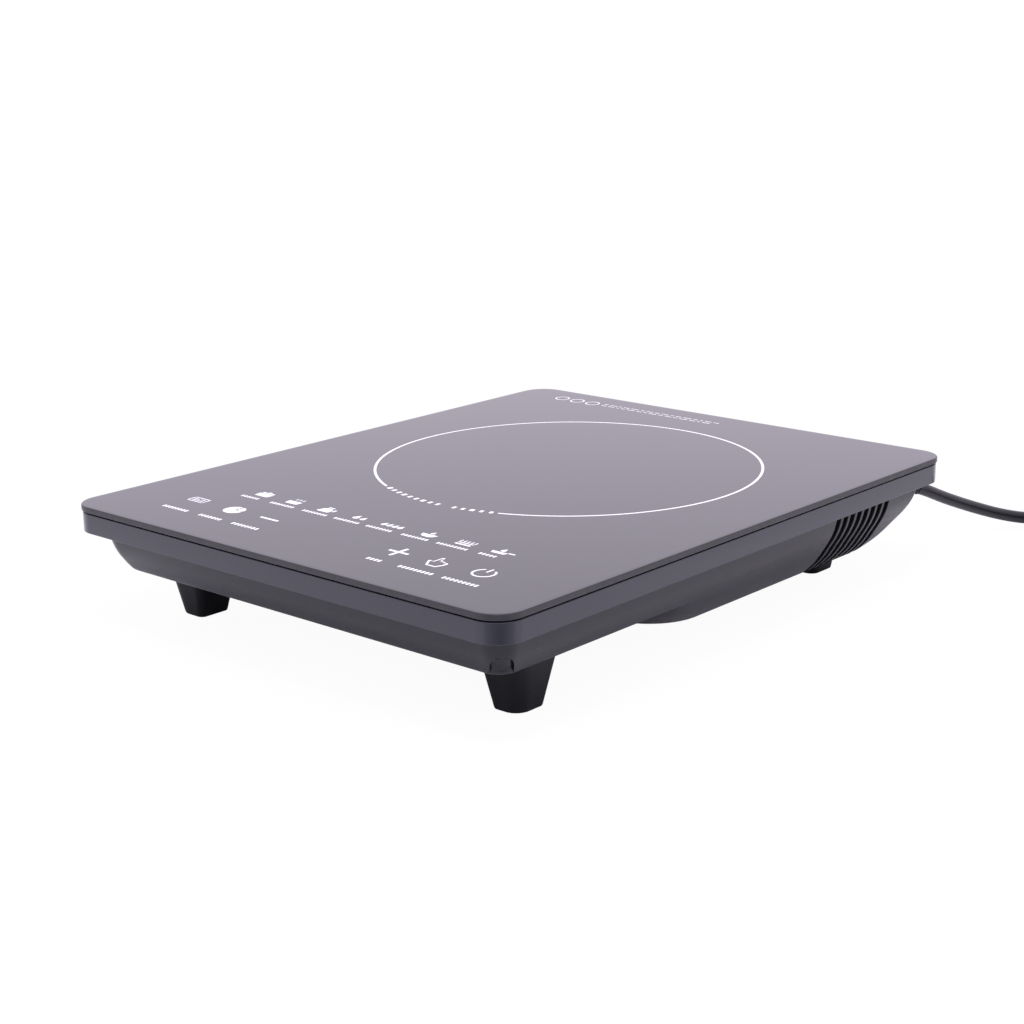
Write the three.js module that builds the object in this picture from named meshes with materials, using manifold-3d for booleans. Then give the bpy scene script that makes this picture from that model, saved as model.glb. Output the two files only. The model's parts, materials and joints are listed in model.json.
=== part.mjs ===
// Portable single-zone induction cooktop, 281 x 352 x 60 mm, with its mains lead.
// Millimetres. +Z up, X across the front, -Y towards the user.
// Origin: centre of the footprint, on the surface that the feet stand on.
import * as THREE from 'three';
import { mergeVertices } from 'three/addons/utils/BufferGeometryUtils.js';
import Module from 'manifold-3d';

const wasm = await Module();
wasm.setup();

// ---------------------------------------------------------------- driving dimensions
const PLATE_W = 280.6;           // glass plate, X
const PLATE_D = 352;             // glass plate, Y
const TUB_W = 280;              // reference outline of the housing, X
const TUB_D = 350;              // reference outline of the housing, Y
const PLATE_R = 14.5;           // glass corner radius
const TOP_Z = 60;               // cooking surface
const GLASS_T = 3.0;
const FRAME_TOP = 56.4;         // top of the upper frame
const FRAME_BOTTOM = 46.7;       // lower edge of the upper frame
const FRAME_INSET = 0.7;        // glass overhang past the frame
const WALL = 2.2;               // moulded wall thickness
const TUB_TOP = 53.2;
const SHELF_Z = 25.6;           // underside of the shallow front part
const BELLY_Z = 8.3;            // underside of the deep rear part
const COIL_C = [0, 34.5];       // centre of the cooking zone
const COIL_R = [28, 90];        // winding, inner and outer radius
const KEY_Y = -134.3;           // touch key row
const KEY_X = [-94.5, -67.5, -42.5, 42.5, 67.5, 94.5];
const FAN_C = [-60, 72];
const FAN_TIP = 36.4;
const CORD_D = 6.6;
const CORD_EXIT = [115, 164.9, 40];
const HANK_C = [207.7, 268.8];  // centre of the wound cord
const HANK_R = [31.5, 38.5, 45.5];
const CORNER_SEG = 5;

// ---------------------------------------------------------------- helpers
const group = new THREE.Group();

function mat(hex, roughness, metalness = 0) {
  return new THREE.MeshStandardMaterial({ color: hex, roughness, metalness });
}

function toManifold(geometry) {
  let g = geometry.index ? geometry.clone() : geometry.clone();
  for (const k of Object.keys(g.attributes)) if (k !== 'position') g.deleteAttribute(k);
  g = mergeVertices(g, 1e-4);
  return new wasm.Manifold(new wasm.Mesh({
    numProp: 3,
    vertProperties: new Float32Array(g.attributes.position.array),
    triVerts: new Uint32Array(g.index.array),
  }));
}

function toGeometry(m) {
  const mesh = m.getMesh();
  const g = new THREE.BufferGeometry();
  g.setAttribute('position', new THREE.BufferAttribute(new Float32Array(mesh.vertProperties), 3));
  g.setIndex(new THREE.BufferAttribute(new Uint32Array(mesh.triVerts), 1));
  return g;
}

function put(name, shape, material, parent = group) {
  const g = shape.isBufferGeometry ? shape : toGeometry(shape);
  g.computeVertexNormals();
  const m = new THREE.Mesh(g, material);
  m.name = name;
  parent.add(m);
  return m;
}

// A rounded rectangle as a counter-clockwise list of points; r holds the corner radii
// in the order (+x,-y), (+x,+y), (-x,+y), (-x,-y).
function roundRect(x0, x1, y0, y1, r, seg = CORNER_SEG) {
  const rr = Array.isArray(r) ? r : [r, r, r, r];
  const c = [[x1, y0, -90], [x1, y1, 0], [x0, y1, 90], [x0, y0, 180]];
  const s = [[-1, 1], [-1, -1], [1, -1], [1, 1]];
  const pts = [];
  for (let k = 0; k < 4; k++) {
    const cx = c[k][0] + s[k][0] * rr[k];
    const cy = c[k][1] + s[k][1] * rr[k];
    for (let i = 0; i <= seg; i++) {
      const a = THREE.MathUtils.degToRad(c[k][2] + 90 * i / seg);
      pts.push([cx + rr[k] * Math.cos(a), cy + rr[k] * Math.sin(a)]);
    }
  }
  return pts;
}

// Joins rings of points into one closed surface. A loop joins its last ring to its first;
// otherwise the end rings are capped.
function loft(rings, loop = false) {
  const n = rings[0].length;
  const pos = [];
  for (const ring of rings) for (const p of ring) pos.push(p[0], p[1], p[2]);
  const idx = [];
  const last = loop ? rings.length : rings.length - 1;
  for (let k = 0; k < last; k++) {
    const a = k * n;
    const b = ((k + 1) % rings.length) * n;
    for (let i = 0; i < n; i++) {
      const j = (i + 1) % n;
      idx.push(a + i, a + j, b + j, a + i, b + j, b + i);
    }
  }
  if (!loop) {
    const e = (rings.length - 1) * n;
    for (let i = 1; i < n - 1; i++) {
      idx.push(0, i + 1, i);
      idx.push(e, e + i, e + i + 1);
    }
  }
  let v = 0;
  const P = (i) => new THREE.Vector3(pos[3 * i], pos[3 * i + 1], pos[3 * i + 2]);
  for (let t = 0; t < idx.length; t += 3) v += P(idx[t]).dot(P(idx[t + 1]).cross(P(idx[t + 2])));
  if (v < 0) for (let t = 0; t < idx.length; t += 3) [idx[t + 1], idx[t + 2]] = [idx[t + 2], idx[t + 1]];
  const g = new THREE.BufferGeometry();
  g.setAttribute('position', new THREE.BufferAttribute(new Float32Array(pos), 3));
  g.setIndex(idx);
  return g;
}

const at = (pts, z) => pts.map((p) => [p[0], p[1], z]);
const plateRing = (inset, z, r, seg) =>
  at(roundRect(-PLATE_W / 2 + inset, PLATE_W / 2 - inset, -PLATE_D / 2 + inset, PLATE_D / 2 - inset, r, seg), z);
// Rings of the housing: insets are from the housing's own reference outline.
const tubRing = (inset, z, r, seg) =>
  at(roundRect(-TUB_W / 2 + inset, TUB_W / 2 - inset, -TUB_D / 2 + inset, TUB_D / 2 - inset, r, seg), z);

function box(x0, x1, y0, y1, z0, z1) {
  const g = new THREE.BoxGeometry(x1 - x0, y1 - y0, z1 - z0);
  g.translate((x0 + x1) / 2, (y0 + y1) / 2, (z0 + z1) / 2);
  return g;
}

function cyl(x, y, z0, z1, r, seg = 16, r2 = r) {
  const g = new THREE.CylinderGeometry(r2, r, z1 - z0, seg);
  g.rotateX(Math.PI / 2);
  g.translate(x, y, (z0 + z1) / 2);
  return g;
}

// A solid of revolution about a vertical axis at (x, y); profile is a list of [radius, z].
function turned(x, y, profile, seg) {
  const g = new THREE.LatheGeometry(profile.map((p) => new THREE.Vector2(p[0], p[1])), seg);
  g.rotateX(Math.PI / 2);
  g.translate(x, y, 0);
  g.deleteAttribute('normal');
  g.deleteAttribute('uv');
  const m = mergeVertices(g, 1e-4);
  const i = m.index.array;
  const keep = [];
  const p = m.attributes.position;
  const V = (k) => new THREE.Vector3().fromBufferAttribute(p, k);
  let v = 0;
  for (let t = 0; t < i.length; t += 3) {
    if (i[t] === i[t + 1] || i[t + 1] === i[t + 2] || i[t] === i[t + 2]) continue;
    keep.push(i[t], i[t + 1], i[t + 2]);
    v += V(i[t]).dot(V(i[t + 1]).cross(V(i[t + 2])));
  }
  if (v < 0) for (let t = 0; t < keep.length; t += 3) [keep[t + 1], keep[t + 2]] = [keep[t + 2], keep[t + 1]];
  m.setIndex(keep);
  return m;
}
const ringShape = (x, y, r0, r1, z0, z1, seg) =>
  turned(x, y, [[r0, z0], [r1, z0], [r1, z1], [r0, z1], [r0, z0]], seg);

// A round bar of changing radius along a list of points, as rings square to the path.
function bar(points, radii, seg = 10, flat = null) {
  const pts = points.map((p) => new THREE.Vector3(...p));
  const rings = [];
  let side = null;
  for (let k = 0; k < pts.length; k++) {
    const d = new THREE.Vector3().subVectors(pts[Math.min(k + 1, pts.length - 1)], pts[Math.max(k - 1, 0)]);
    if (d.length() < 1e-6) d.copy(rings.dir); else d.normalize();
    rings.dir = d.clone();
    if (!side) side = new THREE.Vector3().crossVectors(Math.abs(d.z) > 0.9 ? new THREE.Vector3(1, 0, 0) : new THREE.Vector3(0, 0, 1), d);
    side.addScaledVector(d, -side.dot(d)).normalize();
    const up = new THREE.Vector3().crossVectors(d, side).normalize();
    const r = Array.isArray(radii) ? radii[k] : radii;
    const ring = [];
    if (flat) {
      for (const [u, w] of [[-flat[0], -flat[1]], [flat[0], -flat[1]], [flat[0], flat[1]], [-flat[0], flat[1]]]) {
        ring.push(pts[k].clone().addScaledVector(side, u).addScaledVector(up, w).toArray());
      }
    } else {
      for (let i = 0; i < seg; i++) {
        const a = 2 * Math.PI * i / seg;
        ring.push(pts[k].clone().addScaledVector(side, r * Math.cos(a)).addScaledVector(up, r * Math.sin(a)).toArray());
      }
    }
    rings.push(ring);
  }
  return loft(rings);
}

function screw(name, x, y, seat, length, headR, headH, r, down = true) {
  const s = down ? 1 : -1;
  const prof = [[0, seat + s * headH], [headR * 0.75, seat + s * headH], [headR, seat + s * headH * 0.5], [headR, seat],
    [r, seat], [r, seat - s * (length - 1)], [0, seat - s * length]];
  return put(name, turned(x, y, prof, 10), steel);
}

// ---------------------------------------------------------------- materials
const glassBlack = mat(0x0b0b0e, 0.06);
const rubberBlack = mat(0x101012, 0.85);
const frameBlack = mat(0x24242b, 0.22);
const tubBlack = mat(0x222229, 0.26);
const footBlack = mat(0x141518, 0.6);
const steel = mat(0xa9a9ad, 0.35, 1);
const carrierGrey = mat(0xd8d4c8, 0.6);
const copper = mat(0xb06a3a, 0.35, 1);
const ferriteGrey = mat(0x37373b, 0.7);
const micaWhite = mat(0xd9cfb4, 0.7);
const siliconeWhite = mat(0xe6e4de, 0.7);
const fanBlack = mat(0x1b1b1d, 0.5);
const boardGreen = mat(0x1c5a34, 0.5);
const aluminium = mat(0xb9bcc0, 0.35, 1);
const packageBlack = mat(0x17181a, 0.55);
const capYellow = mat(0xc9a63a, 0.5);
const ferriteGreen = mat(0x2f5d46, 0.6);
const terminalWhite = mat(0xdcdad2, 0.55);
const springSteel = mat(0xb7b8ba, 0.3, 1);
const leadWhite = mat(0xd7d4cc, 0.6);
const cordBlack = mat(0x1a1a1e, 0.5);
const brass = mat(0xb8b4a8, 0.25, 1);

// ---------------------------------------------------------------- glass plate and its seal
{
  const rings = [[0.9, 57.0], [0.25, 57.25], [0, 57.8], [0, 59.3], [0.2, 59.8], [0.7, TOP_Z]].map(([i, z]) =>
    plateRing(i, z, PLATE_R - i));
  put('glass_plate', loft(rings), glassBlack);
  put('glass_seal', loft([[2.6, 56.55, 11.9], [2.6, 56.85, 11.9], [9.5, 56.85, 8], [9.5, 56.55, 8]]
    .map(([i, z, r]) => plateRing(i, z, r, 4)), true), rubberBlack);
}

// ---------------------------------------------------------------- upper frame
const CORNER_SCREWS = [[-115, -151, 1], [115, -151, 1], [-104, 146, 0], [104, 146, 0]];
{
  const prof = [[FRAME_INSET, FRAME_TOP, 13.8], [FRAME_INSET, FRAME_BOTTOM + 0.7, 13.8], [FRAME_INSET + 0.6, FRAME_BOTTOM, 13.2],
    [8.7, FRAME_BOTTOM, [12.3, 8.3, 8.3, 12.3], 1], [8.7, FRAME_BOTTOM + WALL, [12.3, 8.3, 8.3, 12.3], 1], [3.6, FRAME_BOTTOM + WALL, 10.9, 1],
    [3.6, FRAME_TOP - WALL, 10.9, 1], [12.5, FRAME_TOP - WALL, 9, 1], [12.5, FRAME_TOP, 9, 1]];
  let frame = toManifold(loft(prof.map(([i, z, r, inner]) => (inner ? tubRing : plateRing)(i, z, r)), true));
  for (const [x, y, front] of CORNER_SCREWS) {
    const sx = Math.sign(x);
    const sy = Math.sign(y);
    const gx = front ? [108, 129] : [97, 129];
    const gy = front ? [144, 164] : [139, 164];
    const b = box(Math.min(sx * gx[0], sx * gx[1]), Math.max(sx * gx[0], sx * gx[1]),
      Math.min(sy * gy[0], sy * gy[1]), Math.max(sy * gy[0], sy * gy[1]), FRAME_TOP - WALL, FRAME_TOP - 0.3);
    frame = frame.add(toManifold(b));
    frame = frame.add(toManifold(cyl(x, y, 37.2, FRAME_TOP - 1, 3.4, 12, 4)));
    frame = frame.subtract(toManifold(cyl(x, y, 36, 51, 1.65, 10)));
  }
  put('upper_frame', frame, frameBlack);
}

// ---------------------------------------------------------------- lower housing
// Side wall as [inset from the plate outline, height], top to bottom.
const SIDE = [[9, TUB_TOP], [9, 46], [10, 41.6], [11.5, 36.1], [13.7, 31.1]];
const SIDE_SHALLOW = [...SIDE, [15.5, 28.0], [16.7, 26.2], [18.4, SHELF_Z]];
const SIDE_DEEP = [[13.7, 31.1], [16.2, 26.6], [20.9, 19.2], [25, 14.4], [29.5, 10.6], [34, 8.9], [41, BELLY_Z]];
const FRONT_DEEP = [-57, -52.5, -45, -39, -33, -29, -20.5];
const R_FRONT = [12, 12, 12, 11.5, 10.5, 9.8, 9.3, 8.8];  // front corner radius, level by level
const frontDraft = (z) => 1.5 * Math.min(1, Math.max(0, (46 - z) / (46 - SHELF_Z)));
const R_REAR = [8, 8, 8, 8.5, 9.5, 10, 10, 10];      // rear corner radius, level by level
const R_DEEP_REAR = [9.5, 10.5, 12, 13, 14, 15, 16];
const R_DEEP_FRONT = [24, 25, 26, 27, 28, 28, 28];

function offsetProfile(p, t) {
  return p.map((q, k) => {
    const a = p[Math.max(k - 1, 0)];
    const b = p[Math.min(k + 1, p.length - 1)];
    const l = Math.hypot(b[0] - a[0], b[1] - a[1]);
    return [q[0] - t * (b[1] - a[1]) / l, q[1] + t * (b[0] - a[0]) / l];
  });
}
const shallowRing = (inset, z, rf, rr) => at(roundRect(-TUB_W / 2 + inset, TUB_W / 2 - inset, -TUB_D / 2 + inset + frontDraft(z),
  TUB_D / 2 - inset, [rf, rr, rr, rf]), z);
const deepRing = (inset, z, front, rf, rr) => at(roundRect(-TUB_W / 2 + inset, TUB_W / 2 - inset, front,
  TUB_D / 2 - inset, [rf, rr, rr, rf]), z);

let outerTub;
{
  const shallow = toManifold(loft(SIDE_SHALLOW.map(([i, z], k) => shallowRing(i, z, R_FRONT[k], R_REAR[k]))));
  const deep = toManifold(loft([deepRing(13.4, 33, -58.5, 24, 9), ...SIDE_DEEP.map(([i, z], k) =>
    deepRing(i, z, FRONT_DEEP[k], R_DEEP_FRONT[k], R_DEEP_REAR[k]))]));
  outerTub = shallow.add(deep);

  const inShallow = offsetProfile(SIDE_SHALLOW, WALL);
  inShallow[0] = [9 + WALL, TUB_TOP + 2];
  inShallow[inShallow.length - 1][1] = SHELF_Z + WALL;
  inShallow[inShallow.length - 2][1] = Math.max(inShallow[inShallow.length - 2][1], SHELF_Z + WALL + 0.15);
  const inDeep = offsetProfile(SIDE_DEEP, WALL);
  inDeep[inDeep.length - 1] = [41 + 0.3, BELLY_Z + WALL];
  const cutShallow = toManifold(loft(inShallow.map(([i, z], k) => shallowRing(i, z, R_FRONT[k] - 2, R_REAR[k] - 2))));
  const cutDeep = toManifold(loft([deepRing(13.4 + 2.6, 33.8, -55.5, 22, 7), ...inDeep.map(([i, z], k) =>
    deepRing(i, z, FRONT_DEEP[k] + (k < 5 ? 3 : 1.2), R_DEEP_FRONT[k] - 2, R_DEEP_REAR[k] - 2))]));
  let tub = outerTub.subtract(cutShallow.add(cutDeep));

  // posts that carry the boards, the fan, the winding and the frame's screws
  const posts = [];
  for (const [x, y, front] of CORNER_SCREWS) posts.push([x, y, front ? 9.5 : 7.2, front ? SHELF_Z : 8.4, 36.9]);
  for (const [x, y] of [[91, 1.3], [-91, 1.3], [-17, 130]]) posts.push([x, y, 4, 9, 40.7]);
  for (const [x, y] of [[-6, -16], [80, -16], [80, 120], [-6, 120]]) posts.push([x, y, 3.4, 9, 13.7]);
  for (const [x, y] of [[-95.5, 36.5], [-24.5, 36.5], [-95.5, 107.5], [-24.5, 107.5]]) posts.push([x, y, 3.6, 9, 12.7]);
  for (const [x, y] of [[-100, -112], [100, -112], [-100, -152], [100, -152]]) posts.push([x, y, 3.4, 27, 46.2]);
  for (const [x, y, r, z0, z1] of posts) {
    const p = toManifold(cyl(x, y, z0, z1, r, 12));
    tub = tub.add(p.intersect(outerTub));
  }
  for (const [x, y, front] of CORNER_SCREWS) {
    tub = tub.subtract(toManifold(cyl(x, y, 0, 34.6, 4.8, 12)));
    tub = tub.subtract(toManifold(cyl(x, y, 30, 40, 1.75, 8)));
  }
  // shallow arched recess in each front corner, closed below by a lip; its floor runs parallel to the wall
  const core = toManifold(loft(offsetProfile(SIDE_SHALLOW, 1.3).map(([i, z], k) => shallowRing(i, z, R_FRONT[k] - 1.3, R_REAR[k] - 1.3))));
  for (const s of [-1, 1]) {
    const arch = new THREE.Shape();
    arch.moveTo(-5.05, 0);
    arch.lineTo(5.05, 0);
    arch.absarc(0, 4.1, 5.05, 0, Math.PI, false);
    const g = new THREE.ExtrudeGeometry(arch, { depth: 16.2, bevelEnabled: false, curveSegments: 10 });
    g.rotateX(Math.PI / 2);                         // outline upright, depth along -Y
    g.translate(0, -5, 26.9);
    g.rotateZ(s * Math.PI / 4);
    g.translate(s * 115.1, -148.3, 0);
    tub = tub.subtract(toManifold(g).subtract(core));
  }
  for (const [x, y] of [[91, 1.3], [-91, 1.3], [-17, 130]]) tub = tub.subtract(toManifold(cyl(x, y, 28, 44, 1.55, 8)));
  for (const [x, y] of [[80, -16], [-6, 120], [-95.5, 36.5], [-24.5, 107.5]]) tub = tub.subtract(toManifold(cyl(x, y, 9.6, 20, 1.3, 8)));

  // outlet slots through both side walls at the rear, eight on a side
  for (let k = 0; k < 8; k++) {
    const y0 = 85.5 + k * 6.45;
    for (const s of [-1, 1]) {
      const x0 = s > 0 ? 104 : -150;
      tub = tub.subtract(toManifold(box(x0, x0 + 46, y0, y0 + 4.2, 11.5, 44.6)));
    }
  }
  // inlet slots in the floor under the fan
  for (let k = -4; k <= 4; k++) {
    const y = FAN_C[1] + k * 7.6;
    const half = Math.sqrt(35 * 35 - (k * 7.6) ** 2);
    tub = tub.subtract(toManifold(box(FAN_C[0] - half, FAN_C[0] + half, y - 2, y + 2, 5, 11.5)));
  }
  // hole for the mains lead in the rear wall
  const h = new THREE.CylinderGeometry(5.3, 5.3, 14, 14);
  h.translate(CORD_EXIT[0], CORD_EXIT[1] - 3, CORD_EXIT[2]);
  tub = tub.subtract(toManifold(h));
  put('lower_housing', tub, tubBlack);
}

// ---------------------------------------------------------------- feet
function foot(name, x0, x1, y0, y1, h, draft) {
  const d = draft * h;
  const ring = (g, z, r) => at(roundRect(x0 - g, x1 + g, y0 - g, y1 + g, r, 3), z);
  put(name, loft([ring(-0.5, 0, 3), ring(0, 0.5, 3.6), ring(d, h, 5.5)]), footBlack);
}
for (const s of [-1, 1]) {
  const side = s < 0 ? 'left' : 'right';
  const fx = s < 0 ? [96.4, 111.8] : [97.4, 112.8];
  const rx = [84.5, 98.6];
  foot(`foot_front_${side}`, Math.min(s * fx[0], s * fx[1]), Math.max(s * fx[0], s * fx[1]), -135.3, -116.8, SHELF_Z - 0.3, 0.2);
  foot(`foot_rear_${side}`, Math.min(s * rx[0], s * rx[1]), Math.max(s * rx[0], s * rx[1]), 115.7, 134.5, BELLY_Z - 0.3, 0.2);
}
CORNER_SCREWS.forEach(([x, y], k) => screw(`housing_screw_${k + 1}`, x, y, 34.3, 14, 3.6, 2.2, 1.45, false));

// ---------------------------------------------------------------- winding, carrier and ferrites
const EARS = [[91, 1.3], [-91, 1.3], [-17, 130]];
{
  let c = toManifold(ringShape(...COIL_C, 84, 94, 41, 43, 36)).add(toManifold(ringShape(...COIL_C, 13, 27, 41, 43, 20)));
  for (let k = 0; k < 6; k++) {
    const arm = box(20, 89, -9, 9, 41, 43);
    arm.rotateZ((k * 60 + 30) * Math.PI / 180);
    arm.translate(COIL_C[0], COIL_C[1], 0);
    c = c.add(toManifold(arm));
  }
  for (const [x, y] of EARS) c = c.add(toManifold(cyl(x, y, 41, 43, 6, 12)));
  for (const [x, y] of EARS) c = c.subtract(toManifold(cyl(x, y, 40, 44, 1.75, 8)));
  put('coil_carrier', c, carrierGrey);
  put('induction_coil', ringShape(...COIL_C, COIL_R[0], COIL_R[1], 43.3, 47.8, 36), copper);
  for (let k = 0; k < 6; k++) {
    const b = box(29, 81, -7, 7, 36.3, 40.7);
    b.rotateZ((k * 60 + 30) * Math.PI / 180);
    b.translate(COIL_C[0], COIL_C[1], 0);
    put(`ferrite_bar_${k + 1}`, b, ferriteGrey);
  }
  put('mica_sheet', ringShape(...COIL_C, 12, 92, 48.2, 48.8, 30), micaWhite);
  put('coil_sensor', turned(...COIL_C, [[0, 43.3], [11.4, 43.3], [11.4, 44.8], [7.5, 45.2], [7.5, 55.6], [6.5, 56.5], [0, 56.5]], 14), siliconeWhite);
  EARS.forEach(([x, y], k) => screw(`coil_screw_${k + 1}`, x, y, 43.3, 12, 3.2, 1.9, 1.3));
}

// ---------------------------------------------------------------- fan
{
  const [fx, fy] = FAN_C;
  const z0 = 13;
  const z1 = 27;
  let f = toManifold(box(fx - 40, fx + 40, fy - 40, fy + 40, z0, z1)).subtract(toManifold(cyl(fx, fy, 10, 30, 37.9, 32)));
  f = f.add(toManifold(cyl(fx, fy, 25.3, z1, 14, 16)));
  for (let k = 0; k < 4; k++) {
    const s = box(12, 38.6, -1.6, 1.6, 25.3, z1);
    s.rotateZ((k * 90 + 45) * Math.PI / 180);
    s.translate(fx, fy, 0);
    f = f.add(toManifold(s));
  }
  for (const [x, y] of [[-95.5, 36.5], [-24.5, 107.5]]) f = f.subtract(toManifold(cyl(x, y, 12, 28, 1.75, 8)));
  put('fan_frame', f, fanBlack);
  put('fan_stator', ringShape(fx, fy, 1.57, 14.4, 16.8, 25, 16), copper);
  let r = toManifold(turned(fx, fy, [[0, 14.3], [17, 14.3], [17, 24.4], [15.4, 24.4], [15.4, 16.1], [1.5, 16.1], [1.5, 24.7], [0, 24.7]], 24));
  for (let k = 0; k < 7; k++) {
    const b = box(16.2, FAN_TIP, -6.4, 6.4, -0.8, 0.8);
    b.rotateX(35 * Math.PI / 180);
    b.translate(0, 0, 19.4);
    b.rotateZ(k * 2 * Math.PI / 7);
    b.translate(fx, fy, 0);
    r = r.add(toManifold(b));
  }
  put('fan_rotor', r, mat(0x202023, 0.45));
  screw('fan_screw_1', -95.5, 36.5, 27.3, 17, 3.2, 1.9, 1.15);
  screw('fan_screw_2', -24.5, 107.5, 27.3, 17, 3.2, 1.9, 1.15);
}

// ---------------------------------------------------------------- power board
{
  const holes = [[80, -16], [-6, 120]];
  let b = toManifold(box(-10, 84, -22, 124, 14, 15.6));
  for (const [x, y] of holes) b = b.subtract(toManifold(cyl(x, y, 13, 17, 1.6, 8)));
  put('main_board', b, boardGreen);
  holes.forEach(([x, y], k) => screw(`board_screw_${k + 1}`, x, y, 15.9, 5.8, 2.8, 1.7, 1.1));

  // heat sink: legs, base and fins, drawn as a section and run along X
  const s = new THREE.Shape();
  s.moveTo(58, 15.9);
  s.lineTo(61, 15.9); s.lineTo(61, 21); s.lineTo(101, 21); s.lineTo(101, 15.9); s.lineTo(104, 15.9);
  const fins = 8;
  const pitch = (46 - 1.8) / (fins - 1);
  for (let k = fins - 1; k >= 0; k--) {
    const y = 58 + k * pitch;
    if (k < fins - 1) s.lineTo(y + 1.8, 25);
    s.lineTo(y + 1.8, 35.3);
    s.lineTo(y, 35.3);
    if (k > 0) s.lineTo(y, 25);
  }
  s.closePath();
  const hs = new THREE.ExtrudeGeometry(s, { depth: 62, bevelEnabled: false, steps: 1 });
  hs.rotateX(Math.PI / 2);
  hs.rotateZ(Math.PI / 2);
  hs.translate(-6, 0, 0);
  put('heat_sink', hs, aluminium);
  put('power_transistor', box(4, 20, 70, 91, 16, 20.7), packageBlack);
  put('bridge_rectifier', box(26, 52, 70, 90, 16, 20.7), packageBlack);

  const block = (x0, x1, y0, y1, z0, z1, c) => loft([
    at(roundRect(x0 + c, x1 - c, y0 + c, y1 - c, c, 1), z0), at(roundRect(x0, x1, y0, y1, c, 1), z0 + c),
    at(roundRect(x0, x1, y0, y1, c, 1), z1 - c), at(roundRect(x0 + c, x1 - c, y0 + c, y1 - c, c, 1), z1)]);
  put('filter_capacitor', block(-6, 26, 36, 54, 15.9, 33.5, 1), capYellow);
  put('resonance_capacitor', block(-6, 24, 12, 28, 15.9, 34.5, 1), capYellow);
  const tor = [];
  for (let k = 0; k <= 6; k++) {
    const a = 2 * Math.PI * (k % 6) / 6 + Math.PI / 6;
    tor.push([10 + 5.4 * Math.cos(a), 21.6 + 5.4 * Math.sin(a)]);
  }
  put('filter_choke', turned(60, 40, tor, 16), ferriteGreen);
  let t = toManifold(box(54, 74, 2, 20, 15.9, 30)).add(toManifold(box(56.5, 71.5, -1, 23, 19, 27.5)));
  put('supply_transformer', t, ferriteGrey);
  t = toManifold(box(58, 82, 108.5, 118, 15.9, 28));
  for (let k = 0; k < 3; k++) t = t.subtract(toManifold(cyl(62 + k * 8, 113.2, 24, 30, 2.3, 8)));
  put('terminal_block', t, terminalWhite);
}

// ---------------------------------------------------------------- leads inside
put('coil_lead_1', bar([[58.4, -38, 45.8], [63, -42, 44.5], [65, -43.5, 40], [64, -41, 34], [59, -31, 25], [55.5, -21, 20], [54.5, -17, 17.5]], 1.5, 8), leadWhite);
put('coil_lead_2', bar([[41.2, -49, 45.8], [44, -53.5, 44.5], [45, -54.5, 40], [45, -51, 35], [42.5, -37, 27], [39.5, -24, 20.5], [38.5, -18, 17.5]], 1.5, 8), leadWhite);
put('mains_leads', bar([[115, 149, 40], [113, 138, 38], [108, 129, 33.5], [98, 123, 29], [91, 119.5, 26], [85.6, 117.5, 24]], 2.9, 8), leadWhite);
put('ribbon_cable', bar([[0, -107, 45.7], [0, -96, 44.4], [0, -84, 36.5], [0, -70, 31.6], [0, -47, 31.4], [0, -38, 27.5], [0, -30, 20.4], [0, -25, 17.6], [0, -17, 16.8]], 1, 4, [9, 0.5]), leadWhite);

// ---------------------------------------------------------------- control board
{
  put('control_board', box(-106, 106, -158, -99, 46.5, 48.1), boardGreen);
  put('display_module', box(-22, 22, -143.5, -125, 48.4, 56.6), packageBlack);
  KEY_X.forEach((x, k) => put(`touch_spring_${k + 1}`, ringShape(x, KEY_Y, 2.8, 4.2, 48.4, 56.7, 10), springSteel));
}

// ---------------------------------------------------------------- mains lead
// Straight out of the rear wall, down to the surface that the object stands on, and to the right into a wound bundle.
const ROUTE = [[115, 164.9, 40], [115.3, 172, 39.5], [116.2, 180, 37.9], [118.6, 189.5, 34.8], [121.8, 209.5, 26.2], [126.5, 232.7, 17],
  [132.6, 253.8, 9.4], [139.8, 270, 5.0], [148.6, 284.0, 3.7], [158.4, 293.4, 3.6], [168.8, 299.9, 3.6], [177.5, 304.4, 3.6]];
const lead = new THREE.CatmullRomCurve3(ROUTE.map((p) => new THREE.Vector3(...p)), false, 'centripetal');
{
  // entry bush: tail, inner collar, neck in the wall, and a tapered sleeve that bends with the lead
  const L = lead.getLength();
  const along = (s) => lead.getPointAt(Math.max(0, s) / L).toArray();
  const back = (s) => [CORD_EXIT[0], CORD_EXIT[1] + s, CORD_EXIT[2]];
  const pts = [back(-15), back(-9.1), back(-9), back(-7), back(-6.9), back(0), along(1.7), along(1.8), along(8), along(15), along(21), along(21.6)];
  const rad = [3.4, 3.4, 7.4, 7.4, 4.9, 4.9, 4.9, 5.45, 5.1, 4.6, 4.25, 3.9];
  put('cord_grip', bar(pts, rad, 12), cordBlack);

  const s0 = 22;
  const n = 12;
  const path = [];
  for (let k = 0; k <= n; k++) path.push(along(s0 + (L - s0 - 0.5) * k / n));

  const r0 = HANK_R[0] - CORD_D / 2 - 0.2;
  const r1 = HANK_R[2] + CORD_D / 2 + 0.2;
  const hank = turned(...HANK_C, [[r0, 3], [r0 + 2.4, 0.1], [r1 - 2.4, 0.1], [r1, 3], [r1, 11.2], [r1 - 2.4, 14.1], [r0 + 2.4, 14.1], [r0, 11.2], [r0, 3]], 32);
  put('cord_coil', hank, cordBlack);
  put('power_cord', toManifold(bar(path, CORD_D / 2, 10)).subtract(toManifold(cyl(...HANK_C, -1, 16, r1 + 0.3, 32))), cordBlack);
}

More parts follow.
